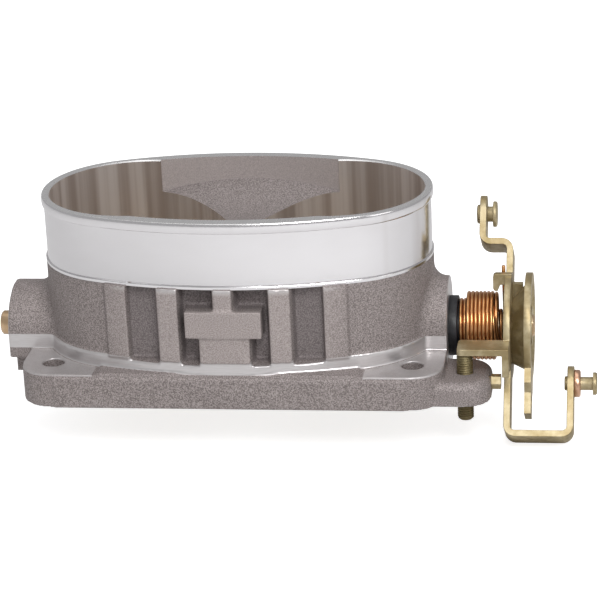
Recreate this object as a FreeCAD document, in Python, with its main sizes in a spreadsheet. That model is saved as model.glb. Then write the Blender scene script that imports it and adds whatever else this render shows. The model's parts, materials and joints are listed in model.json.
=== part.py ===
import FreeCAD, Part
import math
import os
import re
import Sketcher

# Twin-bore throttle body.
# Frame: origin at the centre of the mounting face, midway between the two bores.
# +X runs along the throttle shaft towards the lever, +Y to the back, +Z up to the air inlet.
# All sizes are in millimetres.

DIMENSIONS = {
    # throttle bores and the oval body around them
    "bore_radius": 32.5,
    "bore_offset": 36.0,
    "barrel_end": 35.2,
    "barrel_side": 41.0,
    "ledge_end": 35.3,
    "ledge_side": 41.8,
    "collar_end": 34.7,
    "collar_side": 41.5,
    "bead_end": 35.5,
    "bead_side": 42.3,
    "ledge_bottom": 45.0,
    "collar_bottom": 46.1,
    "bead_bottom": 65.6,
    "rim_top": 69.5,
    "band_top": 18.0,
    "band_proud": 0.9,
    # hollow above the wall that divides the bores
    "hollow_side": 37.4,
    "hollow_side_arc": 126.0,
    "hollow_half": 33.6,
    "hollow_floor": 52.0,
    "hollow_flat": 15.0,
    "hollow_curve": 32.8,
    # mounting flange
    "flange_thick": 12.5,
    "flange_half_length": 76.5,
    "flange_half_depth": 42.0,
    "flange_corner": 12.0,
    "land_half_length": 47.0,
    "land_rise": 0.7,
    "front_land_half": 63.0,
    "front_land_proud": 0.6,
    "front_land_top": 11.0,
    "bolt_half_length": 65.3,
    "bolt_half_depth": 30.0,
    "bolt_hole": 4.0,
    # ear that carries the idle screw
    "ear_left": 66.0,
    "ear_right": 93.0,
    "ear_front": 38.0,
    "ear_back": 10.4,
    "ear_thick": 8.4,
    "ear_corner": 9.0,
    "ear_edge": 3.2,
    # shaft bosses
    "shaft_height": 16.4,
    "boss_left_end": 85.0,
    "boss_left_half": 16.4,
    "boss_right_end": 76.5,
    "boss_right_half": 15.5,
    "boss_right_rise": 3.0,
    "boss_root": 55.0,
    "boss_blend": 5.0,
    "sensor_pad_half": 15.0,
    "sensor_pad_low": 8.6,
    "sensor_pad_thick": 5.5,
    "sensor_web_half": 7.0,
    "sensor_web_end": 84.0,
    "sensor_hole_offset": 13.0,
    "sensor_hole": 1.7,
    "sensor_hole_depth": 8.0,
    # ribbed panels on the front and back
    "panel_half": 43.5,
    "panel_root": 25.0,
    "panel_end": 36.3,
    "panel_side": 42.8,
    "panel_low": 17.5,
    "pocket_low": 17.1,
    "pocket_high": 44.5,
    "pocket_inner": 24.9,
    "pocket_outer": 34.7,
    "pocket_floor": 34.3,
    "pocket_reach": 10.0,
    "pocket_draft": 10.0,
    "centre_pocket_half": 15.8,
    "centre_pocket_floor": 35.4,
    "web_half": 10.2,
    "post_half": 4.6,
    "web_pocket_high": 44.0,
    "web_pocket_step": 36.6,
    "blank_half": 13.6,
    "blank_low": 27.2,
    "blank_high": 37.2,
    "blank_face": 43.6,
    # shaft, plates and their screws
    "shaft_radius": 4.75,
    "shaft_left": 91.0,
    "drive_radius": 4.5,
    "drive_start": 85.4,
    "shaft_shoulder": 96.9,
    "shaft_right": 107.4,
    "spigot_radius": 4.0,
    "spigot_flat": 3.3,
    "shaft_clearance": 0.05,
    "shaft_passage": 4.95,
    "shaft_flat": 3.75,
    "plate_radius": 32.4,
    "plate_thick": 2.0,
    "slot_play": 0.02,
    "plate_screw_radius": 1.5,
    "plate_screw_play": 0.05,
    "plate_screw_pitch": 14.0,
    "plate_screw_head": 2.8,
    "plate_screw_head_tall": 1.5,
    "plate_screw_low": 4.3,
    # bushings and seals
    "bushing_outer": 7.0,
    "bushing_left_inner_end": 69.2,
    "bushing_left_outer_end": 81.0,
    "bushing_right_inner_end": 69.2,
    "bushing_right_outer_end": 73.7,
    "seal_outer": 8.5,
    "seal_left_end": 84.5,
    "guide_flange": 11.0,
    "guide_flange_end": 79.7,
    "guide_hub": 8.3,
    "guide_hub_end": 92.4,
    "guide_bore": 4.9,
    # return springs and their anchor
    "wire": 1.36,
    "outer_coil": 12.0,
    "outer_left": 83.1,
    "outer_right": 93.3,
    "outer_turns": 7.0,
    "inner_coil": 9.4,
    "inner_left": 80.43,
    "inner_right": 92.0,
    "inner_turns": 8.0,
    "inner_leg_at": 94.4,
    "inner_leg_reach": 16.0,
    "small_coil": 5.55,
    "small_right": 96.2,
    "spring_drop_angle": 150.0,
    "outer_leg_over": 3.5,
    "inner_leg_over": 2.5,
    "outer_end_over": 2.2,
    "small_turns": 1.0,
    "anchor_pin": 1.5,
    "anchor_radius": 14.6,
    "anchor_left": 70.0,
    "anchor_right": 86.6,
    # throttle lever
    "lever_sheet": 2.4,
    "lever_disc": 19.3,
    "lever_lean": 35.0,
    "arm_half_width": 6.0,
    "joggle_left": 86.8,
    "joggle_top": 31.5,
    "upper_end": 49.0,
    "lower_end": 42.3,
    "upright_right": 121.9,
    "upright_top": 15.2,
    "bend_inner": 1.6,
    "bend_outer": 4.3,
    "arm_round": 5.8,
    "stop_tab_left": 80.9,
    "stop_tab_front": 28.5,
    "stop_tab_back": 18.4,
    "stop_tab_low": 0.9,
    "stop_lug_low": 9.0,
    "stop_lug_back": 11.0,
    "stop_tab_round": 1.5,
    "hook_left": 92.5,
    "hook_half": 1.35,
    "hook_high": 20.2,
    "hook_throat": 16.1,
    "hook_tip": 13.7,
    "hook_tip_right": 94.1,
    "hook_throat_left": 95.1,
    "hook_round": 1.2,
    "rear_lug_left": 93.4,
    "rear_lug_near": 12.6,
    "rear_lug_far": 15.6,
    "rear_lug_play": 0.1,
    # cable cam
    "cam_left": 104.2,
    "cam_sheet": 2.4,
    "cam_disc": 19.4,
    "cam_tongue": 33.7,
    "cam_tongue_half": 8.0,
    "cam_tip_half": 5.0,
    "cam_step": 26.0,
    "dish_rim": 16.8,
    "dish_floor": 11.7,
    "dish_floor_drop": 2.2,
    "dish_sheet": 2.0,
    "cable_hole": 2.2,
    "cable_hole_drop": 28.5,
    "locating_tab_right": 103.0,
    "locating_tab_near": 4.0,
    "locating_tab_far": 6.4,
    "locating_tab_low": 7.0,
    "locating_tab_high": 14.6,
    "rivet_radius": 1.6,
    "rivet_head": 2.1,
    "rivet_head_tall": 1.1,
    "rivet_drop": 8.6,
    "rivet_half_pitch": 4.2,
    "rivet_edge": 0.5,
    # studs on the lever
    "upper_stud_at": 42.2,
    "upper_stud_rivet": 3.5,
    "upper_stud_rivet_tall": 1.3,
    "upper_stud_shank": 2.5,
    "upper_stud_neck": 2.85,
    "upper_stud_neck_end": 91.4,
    "upper_stud_head": 4.75,
    "upper_stud_end": 92.9,
    "link_stud_at": 21.4,
    "link_stud_rivet": 2.6,
    "link_stud_rivet_tall": 1.1,
    "link_stud_shank": 2.4,
    "link_stud_head": 4.1,
    "link_stud_head_start": 128.6,
    "link_stud_end": 130.1,
    "collar_radius": 5.0,
    "collar_end_at": 124.2,
    # washer and nut that clamp the lever and the cam on the shaft
    "washer_radius": 7.2,
    "washer_thick": 1.2,
    "nut_across": 13.0,
    "nut_thick": 4.0,
    # idle stop screw and its lock screw
    "idle_screw_at": 83.5,
    "idle_screw_front": 25.0,
    "idle_screw_radius": 2.95,
    "idle_screw_low": 9.7,
    "idle_screw_gap": 0.05,
    "idle_screw_key": 1.5,
    "idle_screw_key_depth": 3.0,
    "idle_screw_tip": 0.7,
    "thread_play": 0.05,
    "lock_screw_height": 5.0,
    "lock_screw_front": 26.0,
    "lock_screw_radius": 1.95,
    "lock_screw_tip": 86.6,
    "lock_screw_across": 4.8,
    "lock_screw_end": 96.4,
    "end_chamfer": 0.6,
}

SKETCH_ORIGIN = (-1, 1)
HORIZONTAL_AXIS = -1
VERTICAL_AXIS = -2
START, END, CENTRE = 1, 2, 3
FUNCTIONS = ("sqrt",)

doc = FreeCAD.newDocument("throttle_body")
sizes = doc.addObject("Spreadsheet::Sheet", "Sizes")
for row, (alias, number) in enumerate(DIMENSIONS.items(), start=1):
    sizes.set("A%d" % row, alias)
    sizes.set("B%d" % row, str(number))
    sizes.setAlias("B%d" % row, alias)
doc.recompute()

subparts = []


# ---------------------------------------------------------------- formulas and placing

def sheet_formula(formula):
    """Point each size name of a formula at its cell of the sheet."""
    def cell(word):
        name = word.group(0)
        return name if name in FUNCTIONS else "Sizes." + name
    return re.sub(r"[a-z][a-z_]*", cell, formula)


def value(formula):
    """Number that a formula of size names works out to."""
    return float(sizes.evalExpression(sheet_formula(formula)))


def bind(thing, **formulas):
    """Bind properties of an object to formulas of size names."""
    for name, formula in formulas.items():
        thing.setExpression(name, sheet_formula(formula))


def place(thing, across="0", back="0", up="0", axis=None, angle=0):
    """Bind an object's position to formulas, with an optional fixed turn about an axis."""
    if axis:
        thing.Placement = FreeCAD.Placement(FreeCAD.Vector(), FreeCAD.Rotation(axis, angle))
    for coordinate, formula in (("x", across), ("y", back), ("z", up)):
        if formula != "0":
            thing.setExpression("Placement.Base." + coordinate, sheet_formula(formula))


def subpart(thing, label):
    """Name a finished piece, so that it is written out under that name."""
    thing.Label = label
    subparts.append(thing)
    return thing


X_AXIS = FreeCAD.Vector(1, 0, 0)
Y_AXIS = FreeCAD.Vector(0, 1, 0)


# ---------------------------------------------------------------- sketch helpers

def new_sketch(body, name, plane="XY_Plane", offset="0"):
    """Sketch on one of a body's origin planes, moved along its normal by a formula."""
    sketch = body.newObject("Sketcher::SketchObject", name)
    plane_feature = [f for f in body.Origin.OriginFeatures if f.Role == plane][0]
    sketch.AttachmentSupport = [(plane_feature, "")]
    sketch.MapMode = "FlatFace"
    if offset != "0":
        sketch.setExpression("AttachmentOffset.Base.z", sheet_formula(offset))
    return sketch


def hold_number(sketch, constraint, formula):
    """Add a constraint whose number follows a formula."""
    index = sketch.addConstraint(constraint)
    sketch.setExpression("Constraints[%d]" % index, sheet_formula(formula))


def hold_point(sketch, geometry, position, across, up):
    """Hold one point of a sketch at its distances from the sketch's origin."""
    for kind, formula, axis in (("DistanceX", across, VERTICAL_AXIS), ("DistanceY", up, HORIZONTAL_AXIS)):
        if formula == "0":
            sketch.addConstraint(Sketcher.Constraint("PointOnObject", geometry, position, axis))
        elif formula:
            distance = Sketcher.Constraint(kind, *SKETCH_ORIGIN, geometry, position, value(formula))
            hold_number(sketch, distance, formula)


def add_line(sketch, start, end):
    """Add a straight edge between two points given as pairs of formulas."""
    return bridge(sketch, corner_point(*start), corner_point(*end))


def join(sketch, first, first_position, second, second_position, kind="Coincident"):
    """Join the ends of two edges, by default without asking for tangency."""
    sketch.addConstraint(Sketcher.Constraint(kind, first, first_position, second, second_position))


def polygon(sketch, points):
    """Closed outline of straight edges, each corner held by a pair of formulas."""
    edges = [add_line(sketch, points[i - 1], points[i]) for i in range(len(points))]
    for i, edge in enumerate(edges):
        join(sketch, edge, END, edges[(i + 1) % len(edges)], START)
        hold_point(sketch, edge, END, *points[i])


def chain(sketch, edges):
    """Join edges end to start into one closed outline."""
    for i, edge in enumerate(edges):
        join(sketch, edge, END, edges[(i + 1) % len(edges)], START)


def bridge(sketch, start, end):
    """Add a straight edge between two points of the sketch plane."""
    return sketch.addGeometry(Part.LineSegment(start, end), False)


def corner_point(across, up):
    """Point of a sketch plane given as a pair of formulas."""
    return FreeCAD.Vector(value(across), value(up), 0)


def rectangle(sketch, left, right, low, high):
    """Upright rectangle between four formulas."""
    polygon(sketch, [(left, low), (right, low), (right, high), (left, high)])


def circle(sketch, across, up, radius):
    """Circle held by its centre and radius."""
    centre = FreeCAD.Vector(value(across), value(up), 0)
    edge = sketch.addGeometry(Part.Circle(centre, FreeCAD.Vector(0, 0, 1), value(radius)), False)
    hold_point(sketch, edge, CENTRE, across, up)
    hold_number(sketch, Sketcher.Constraint("Radius", edge, value(radius)), radius)


def side_arc_radius(end, side):
    """Formula for the long arcs of an oval whose end arcs stand at the bore centres."""
    return "(bore_offset ^ 2 + (%s) ^ 2 - (%s) ^ 2) / (2 * (%s - (%s)))" % (side, end, side, end)


def add_arc(sketch, centre, radius, first_angle, last_angle):
    """Add an arc that runs anticlockwise between two angles."""
    full = Part.Circle(FreeCAD.Vector(centre[0], centre[1], 0), FreeCAD.Vector(0, 0, 1), radius)
    return sketch.addGeometry(Part.ArcOfCircle(full, first_angle, last_angle), False)


def oval(sketch, end, side):
    """Oval of four tangent arcs: two around the bore centres and two long ones."""
    end_radius = value(end)
    long_formula = side_arc_radius(end, side)
    long_radius = value(long_formula)
    offset = value("bore_offset")
    drop = long_radius - value(side)
    lean = math.atan2(offset, drop)
    quarter = math.pi / 2
    right = add_arc(sketch, (offset, 0), end_radius, lean - quarter, quarter - lean)
    top = add_arc(sketch, (0, -drop), long_radius, quarter - lean, quarter + lean)
    left = add_arc(sketch, (-offset, 0), end_radius, quarter + lean, 3 * quarter - lean)
    bottom = add_arc(sketch, (0, drop), long_radius, 3 * quarter - lean, 3 * quarter + lean)
    arcs = [right, top, left, bottom]
    for i, arc in enumerate(arcs):
        join(sketch, arc, END, arcs[(i + 1) % len(arcs)], START, kind="Tangent")
    hold_point(sketch, right, CENTRE, "bore_offset", "0")
    hold_point(sketch, left, CENTRE, "-bore_offset", "0")
    for arc, radius, formula in ((right, end_radius, end), (left, end_radius, end),
                                 (top, long_radius, long_formula), (bottom, long_radius, long_formula)):
        hold_number(sketch, Sketcher.Constraint("Radius", arc, radius), formula)


# ---------------------------------------------------------------- solid helpers

def pad(body, sketch, length, both_ways=False, reverse=False):
    """Pad a sketch by a formula."""
    feature = body.newObject("PartDesign::Pad", sketch.Name + "_pad")
    feature.Profile = sketch
    feature.Midplane = both_ways
    feature.Reversed = reverse
    bind(feature, Length=length)
    body.Tip = feature
    doc.recompute()
    return feature


def pocket(body, sketch, length, both_ways=False, reverse=False, draft=None):
    """Pocket a sketch by a formula, and make sure that it really cuts."""
    before = body.Shape.Volume
    feature = body.newObject("PartDesign::Pocket", sketch.Name + "_pocket")
    feature.Profile = sketch
    feature.Midplane = both_ways
    feature.Reversed = reverse
    bind(feature, Length=length)
    if draft:
        bind(feature, TaperAngle=draft)
    body.Tip = feature
    doc.recompute()
    if body.Shape.Volume >= before:
        raise RuntimeError("the pocket %s cuts nothing" % sketch.Name)
    return feature


def edge_names(shape, wanted):
    """Names of the edges that pass a test of their bounding box."""
    return ["Edge%d" % i for i, edge in enumerate(shape.Edges, start=1) if wanted(edge.BoundBox)]


def round_edges(body, name, radius, wanted, kind="PartDesign::Fillet", size="Radius"):
    """Fillet or chamfer the edges of a body's last feature that pass a test."""
    last = body.Tip
    feature = body.newObject(kind, name)
    feature.Base = (last, edge_names(last.Shape, wanted))
    bind(feature, **{size: radius})
    body.Tip = feature
    doc.recompute()
    return feature


def cylinder(radius, length, across, back="0", up="shaft_height", axis=Y_AXIS, angle=90):
    """Part cylinder, by default lying along X at the shaft's height."""
    thing = doc.addObject("Part::Cylinder", "cylinder")
    bind(thing, Radius=radius, Height=length)
    place(thing, across, back, up, axis, angle)
    return thing


def upright_cylinder(radius, length, across, back, up):
    """Part cylinder that stands along Z."""
    return cylinder(radius, length, across, back, up, axis=None)


def box(length, width, height, across, back, up):
    """Part box placed by its low corner."""
    thing = doc.addObject("Part::Box", "box")
    bind(thing, Length=length, Width=width, Height=height)
    place(thing, across, back, up)
    return thing


def cut(base, *tools):
    """Cut tools from a base one after another."""
    for tool in tools:
        result = doc.addObject("Part::Cut", "cut")
        result.Base = base
        result.Tool = tool
        base = result
    return base


def fuse(*things):
    """Join things into one solid, with the seams between them removed."""
    result = doc.addObject("Part::MultiFuse", "fuse")
    result.Shapes = list(things)
    result.Refine = True
    return result


def ring(outer, inner, start, end):
    """Plain ring on the shaft's axis between two places along X."""
    length = "%s - (%s)" % (end, start)
    return cut(cylinder(outer, length, start), cylinder(inner, length, start))


def turned(name, steps, across="0", back="0", up="0"):
    """Round piece along X made by turning a stepped profile of (place along X, radius) pairs."""
    body = doc.addObject("PartDesign::Body", name)
    sketch = new_sketch(body, name + "_profile", "XZ_Plane")
    first, last = steps[0][0], steps[-1][0]
    outline = [(first, "0")] + list(steps) + [(last, "0")]
    polygon(sketch, outline)
    feature = body.newObject("PartDesign::Revolution", name + "_turned")
    feature.Profile = sketch
    feature.ReferenceAxis = (sketch, ["H_Axis"])
    feature.Angle = 360
    body.Tip = feature
    place(body, across, back, up)
    return body


# ---------------------------------------------------------------- throttle housing

def housing_barrel(body):
    """Oval barrel from the mounting face up to the collar."""
    sketch = new_sketch(body, "barrel")
    oval(sketch, "barrel_end", "barrel_side")
    pad(body, sketch, "ledge_bottom")


def boss_outline(sketch, half, rise):
    """Arch around the shaft: upright sides with a round top, standing on the mounting face."""
    spring_line = "shaft_height + " + rise
    arch = add_arc(sketch, (0, value(spring_line)), value(half), 0, math.pi)
    left = add_line(sketch, ("-" + half, spring_line), ("-" + half, "0"))
    bottom = add_line(sketch, ("-" + half, "0"), (half, "0"))
    right = add_line(sketch, (half, "0"), (half, spring_line))
    chain(sketch, [arch, left, bottom, right])
    hold_point(sketch, arch, CENTRE, "0", spring_line)
    hold_point(sketch, arch, END, None, spring_line)
    hold_point(sketch, left, END, "-" + half, "0")
    hold_point(sketch, bottom, END, half, "0")
    hold_point(sketch, right, END, half, spring_line)


def housing_bosses(body):
    """Shaft bosses at both ends, blended into the barrel."""
    left = new_sketch(body, "boss_left", "YZ_Plane", "-boss_left_end")
    boss_outline(left, "boss_left_half", "0")
    pad(body, left, "boss_left_end - boss_root")
    right = new_sketch(body, "boss_right", "YZ_Plane", "boss_root")
    boss_outline(right, "boss_right_half", "boss_right_rise")
    pad(body, right, "boss_right_end - boss_root")

    def meets_barrel(bounds):
        reaches = max(abs(bounds.XMin), abs(bounds.XMax))
        near_end = min(abs(bounds.XMin), abs(bounds.XMax)) > value("boss_root")
        inside = reaches < value("bore_offset + barrel_end") + 0.01
        return near_end and inside and bounds.ZMax > 1 and bounds.ZMax < value("ledge_bottom") - 1
    round_edges(body, "boss_blend_fillet", "boss_blend", meets_barrel)


def housing_flange(body):
    """Mounting flange with rounded corners, a raised land along each long side."""
    sketch = new_sketch(body, "flange")
    rectangle(sketch, "-flange_half_length", "flange_half_length",
              "-flange_half_depth", "flange_half_depth")
    pad(body, sketch, "flange_thick")

    def corner(bounds):
        upright = bounds.XLength < 0.01 and bounds.YLength < 0.01
        at_corner = abs(bounds.XMin) > value("flange_half_length") - 0.1
        return upright and at_corner and abs(bounds.YMin) > value("flange_half_depth") - 0.1
    round_edges(body, "flange_corners", "flange_corner", corner)
    land = new_sketch(body, "flange_land", offset="flange_thick")
    rectangle(land, "-land_half_length", "land_half_length",
              "front_land_proud - flange_half_depth", "flange_half_depth - front_land_proud")
    pad(body, land, "land_rise")
    front = new_sketch(body, "flange_front_land")
    rectangle(front, "-front_land_half", "front_land_half",
              "-flange_half_depth - front_land_proud", "-flange_half_depth + front_land_proud")
    pad(body, front, "front_land_top")


def housing_ear(body):
    """Rounded ear beside the right boss that carries the idle stop screw."""
    sketch = new_sketch(body, "ear")
    rectangle(sketch, "ear_left", "ear_right", "-ear_front", "-ear_back")
    pad(body, sketch, "ear_thick")

    def outer_corner(bounds):
        upright = bounds.XLength < 0.01 and bounds.YLength < 0.01
        return upright and bounds.XMin > value("ear_right") - 0.1
    round_edges(body, "ear_corners", "ear_corner", outer_corner)

    def top_edge(bounds):
        level = bounds.ZLength < 0.01 and abs(bounds.ZMin - value("ear_thick")) < 0.01
        return level and bounds.XMax > value("ear_right - ear_corner") + 0.5
    round_edges(body, "ear_top_edge", "ear_edge", top_edge)


def housing_collar(body):
    """Ledge, smooth hose collar and rounded bead above the barrel."""
    steps = (("ledge", "ledge_end", "ledge_side", "ledge_bottom", "collar_bottom"),
             ("collar", "collar_end", "collar_side", "collar_bottom", "rim_top"),
             ("bead", "bead_end", "bead_side", "bead_bottom", "rim_top"))
    for name, end, side, low, high in steps:
        sketch = new_sketch(body, name, offset=low)
        oval(sketch, end, side)
        pad(body, sketch, "%s - %s" % (high, low))

    def bead_edge(bounds):
        level = bounds.ZLength < 0.01
        at_bead = abs(bounds.ZMin - value("bead_bottom")) < 0.01 or abs(bounds.ZMin - value("rim_top")) < 0.01
        wide = max(abs(bounds.XMin), abs(bounds.XMax)) > value("bore_offset + bead_end") - 0.01
        deep = max(abs(bounds.YMin), abs(bounds.YMax)) > value("bead_side") - 0.01
        return level and at_bead and (wide or deep)
    round_edges(body, "bead_rounding", "bead_side - collar_side - 0.1", bead_edge)


def housing_band(body):
    """Ground band around the foot of the barrel."""
    sketch = new_sketch(body, "band")
    oval(sketch, "barrel_end + band_proud", "barrel_side + band_proud")
    pad(body, sketch, "band_top")


def panel_block(body, name, sign):
    """Block that stands proud of the barrel, with a face that follows an arc of its own."""
    sketch = new_sketch(body, name, offset="panel_low")
    radius_formula = side_arc_radius("panel_end", "panel_side")
    centre_formula = "(%s - panel_side)" % radius_formula
    radius = value(radius_formula)
    lean = math.asin(value("panel_half") / radius)
    facing = sign * math.pi / 2
    arc = add_arc(sketch, (0, -sign * value(centre_formula)), radius, facing - lean, facing + lean)
    first, last, root = ("panel_half", "-panel_half", "panel_root")
    if sign < 0:
        first, last, root = (last, first, "-" + root)
    down = bridge(sketch, sketch.Geometry[arc].EndPoint, corner_point(last, root))
    across = bridge(sketch, corner_point(last, root), corner_point(first, root))
    up = bridge(sketch, corner_point(first, root), sketch.Geometry[arc].StartPoint)
    chain(sketch, [arc, down, across, up])
    hold_point(sketch, arc, CENTRE, "0", ("-" if sign > 0 else "") + centre_formula)
    hold_number(sketch, Sketcher.Constraint("Radius", arc, radius), radius_formula)
    hold_point(sketch, arc, START, first, None)
    hold_point(sketch, arc, END, last, None)
    hold_point(sketch, down, END, last, root)
    hold_point(sketch, across, END, first, root)
    pad(body, sketch, "ledge_bottom - panel_low")


def panel_pocket(body, name, sign, left, right, floor):
    """Drafted pocket that leaves a rib on each side of it."""
    offset = floor if sign < 0 else "-" + floor
    sketch = new_sketch(body, name, "XZ_Plane", offset)
    rectangle(sketch, left, right, "pocket_low", "pocket_high")
    pocket(body, sketch, "pocket_reach", reverse=sign < 0, draft="pocket_draft")


def webbed_pocket(body):
    """Front middle pocket: a deep corner on each side of a web, and a blank pad across both."""
    outer = "(centre_pocket_half - 0.6)"
    for side, sign in (("left", "-"), ("right", "")):
        corner = new_sketch(body, "web_corner_" + side, "XZ_Plane", "centre_pocket_floor")
        polygon(corner, [
            (sign + outer, "pocket_low"),
            (sign + "web_half", "pocket_low"),
            (sign + "web_half", "web_pocket_step"),
            (sign + "post_half", "web_pocket_step"),
            (sign + "post_half", "web_pocket_high"),
            (sign + outer, "web_pocket_high"),
        ])
        pocket(body, corner, "pocket_reach", reverse=True, draft="pocket_draft")
    blank = new_sketch(body, "blank_pad", "XZ_Plane", "centre_pocket_floor")
    rectangle(blank, "-blank_half", "blank_half", "blank_low", "blank_high")
    pad(body, blank, "blank_face - centre_pocket_floor")


def housing_panels(body):
    """Ribbed panels on the front and the back; the front's middle pocket holds a blank pad."""
    for side, sign in (("front", -1), ("back", 1)):
        panel_block(body, side + "_panel", sign)
        panel_pocket(body, side + "_pocket_left", sign, "-pocket_outer", "-pocket_inner", "pocket_floor")
        panel_pocket(body, side + "_pocket_right", sign, "pocket_inner", "pocket_outer", "pocket_floor")
    panel_pocket(body, "back_pocket_middle", 1, "-centre_pocket_half", "centre_pocket_half",
                 "centre_pocket_floor")
    webbed_pocket(body)


def housing_sensor_pad(body):
    """Foot of the sensor pad on the left boss, with a web down to the mounting face."""
    foot = new_sketch(body, "sensor_foot", "YZ_Plane", "-boss_left_end")
    rectangle(foot, "-sensor_pad_half", "sensor_pad_half", "sensor_pad_low", "shaft_height")
    pad(body, foot, "sensor_pad_thick")
    web = new_sketch(body, "sensor_web", "YZ_Plane", "-sensor_web_end")
    rectangle(web, "-sensor_web_half", "sensor_web_half", "0", "shaft_height")
    pad(body, web, "sensor_web_end - flange_half_length + flange_corner")


def housing_clear_boss_foot(body):
    """Open the space below the left boss, outside the flange and beside the web."""
    for name, near, far in (("front", "-boss_left_half - 1", "-sensor_web_half"),
                            ("back", "sensor_web_half", "boss_left_half + 1")):
        low = new_sketch(body, "boss_foot_" + name, "YZ_Plane", "-boss_left_end - 1")
        rectangle(low, near, far, "-1", "sensor_pad_low")
        pocket(body, low, "boss_left_end + 1 - flange_half_length", reverse=True)


def housing_bores(body):
    """The two throttle bores, the flange's bolt holes and the sensor's screw holes."""
    bores = new_sketch(body, "bores")
    for across in ("-bore_offset", "bore_offset"):
        circle(bores, across, "0", "bore_radius")
    pocket(body, bores, "rim_top", reverse=True)
    holes = new_sketch(body, "bolt_holes")
    for across in ("-bolt_half_length", "bolt_half_length"):
        for up in ("-bolt_half_depth", "bolt_half_depth"):
            circle(holes, across, up, "bolt_hole")
    pocket(body, holes, "flange_thick + 1", reverse=True)
    sensor = new_sketch(body, "sensor_holes", "YZ_Plane", "-boss_left_end")
    for across in ("-sensor_hole_offset", "sensor_hole_offset"):
        circle(sensor, across, "shaft_height", "sensor_hole")
    pocket(body, sensor, "sensor_hole_depth", reverse=True)


def housing_shaft_line(body):
    """Passage for the shaft, with seats for the bushings and seals in the bosses."""
    seats = (("shaft_passage_hole", "-boss_left_end", "boss_left_end + boss_right_end", "shaft_passage"),
             ("bushing_seat_left", "-boss_left_end", "boss_left_end - bushing_left_inner_end", "bushing_outer"),
             ("seal_seat_left", "-boss_left_end", "boss_left_end - bushing_left_outer_end", "seal_outer"),
             ("bushing_seat_right", "bushing_right_inner_end", "boss_right_end - bushing_right_inner_end",
              "bushing_outer"),
             ("seal_seat_right", "bushing_right_outer_end", "boss_right_end - bushing_right_outer_end",
              "seal_outer"))
    for name, start, length, radius in seats:
        sketch = new_sketch(body, name, "YZ_Plane", start)
        circle(sketch, "0", "shaft_height", radius)
        pocket(body, sketch, length, reverse=True)


def housing_screw_holes(body):
    """Threaded holes of the idle stop screw and its lock screw, and the spring anchor's hole."""
    idle = new_sketch(body, "idle_screw_hole")
    circle(idle, "idle_screw_at", "-idle_screw_front", "idle_screw_radius + thread_play")
    pocket(body, idle, "ear_thick + 1", reverse=True)
    lock = new_sketch(body, "lock_screw_hole", "YZ_Plane", "idle_screw_at")
    circle(lock, "-lock_screw_front", "lock_screw_height", "lock_screw_radius + thread_play")
    pocket(body, lock, "ear_right - idle_screw_at + 1", reverse=True)
    anchor = new_sketch(body, "anchor_hole", "YZ_Plane", "anchor_left")
    circle(anchor, *anchor_place(), "anchor_pin")
    pocket(body, anchor, "boss_right_end - anchor_left + 1", reverse=True)


def inlet_hollow():
    """Saddle-floored hollow between the bores, opening at the rim."""
    body = doc.addObject("PartDesign::Body", "inlet_hollow")
    plan = new_sketch(body, "hollow_plan", offset="hollow_floor - 1")
    radius = value("hollow_side_arc")
    drop = radius - value("hollow_side")
    lean = math.asin(value("hollow_half") / radius)
    quarter = math.pi / 2
    top = add_arc(plan, (0, -drop), radius, quarter - lean, quarter + lean)
    bottom = add_arc(plan, (0, drop), radius, -quarter - lean, -quarter + lean)
    left = bridge(plan, plan.Geometry[top].EndPoint, plan.Geometry[bottom].StartPoint)
    right = bridge(plan, plan.Geometry[bottom].EndPoint, plan.Geometry[top].StartPoint)
    chain(plan, [top, left, bottom, right])
    hold_point(plan, top, CENTRE, "0", "hollow_side - hollow_side_arc")
    hold_point(plan, bottom, CENTRE, "0", "hollow_side_arc - hollow_side")
    for arc, start, end in ((top, "hollow_half", "-hollow_half"), (bottom, "-hollow_half", "hollow_half")):
        hold_number(plan, Sketcher.Constraint("Radius", arc, radius), "hollow_side_arc")
        hold_point(plan, arc, START, start, None)
        hold_point(plan, arc, END, end, None)
    pad(body, plan, "rim_top - hollow_floor + 2")
    for name, sign in (("front", -1), ("back", 1)):
        hollow_floor_side(body, name, sign)
    return body


def hollow_floor_side(body, name, sign):
    """Trim the hollow so that its floor is level in the middle and curves up to one side wall."""
    sketch = new_sketch(body, "hollow_floor_" + name, "YZ_Plane")
    side = "" if sign > 0 else "-"
    flat_end = corner_point(side + "hollow_flat", "hollow_floor")
    radius = value("hollow_curve")
    sweep = math.asin(value("hollow_side + 1 - hollow_flat") / radius)
    down = -math.pi / 2
    first, last = (down, down + sweep) if sign > 0 else (down - sweep, down)
    arc = add_arc(sketch, (flat_end.x, flat_end.y + radius), radius, first, last)
    outer_end, inner_end = (END, START) if sign > 0 else (START, END)
    outer = sketch.Geometry[arc].EndPoint if sign > 0 else sketch.Geometry[arc].StartPoint
    low_outer = (side + "(hollow_side + 1)", "hollow_floor - 2")
    wall = bridge(sketch, outer, corner_point(*low_outer))
    bottom = add_line(sketch, low_outer, ("0", "hollow_floor - 2"))
    middle = add_line(sketch, ("0", "hollow_floor - 2"), ("0", "hollow_floor"))
    level = bridge(sketch, corner_point("0", "hollow_floor"), flat_end)
    join(sketch, arc, outer_end, wall, START)
    join(sketch, wall, END, bottom, START)
    join(sketch, bottom, END, middle, START)
    join(sketch, middle, END, level, START)
    join(sketch, level, END, arc, inner_end)
    hold_point(sketch, arc, CENTRE, side + "hollow_flat", "hollow_floor + hollow_curve")
    hold_point(sketch, wall, END, *low_outer)
    hold_point(sketch, wall, START, low_outer[0], None)
    hold_point(sketch, bottom, END, "0", "hollow_floor - 2")
    hold_point(sketch, middle, END, "0", "hollow_floor")
    hold_point(sketch, level, END, side + "hollow_flat", "hollow_floor")
    pocket(body, sketch, "3 * hollow_half", both_ways=True)


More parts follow.
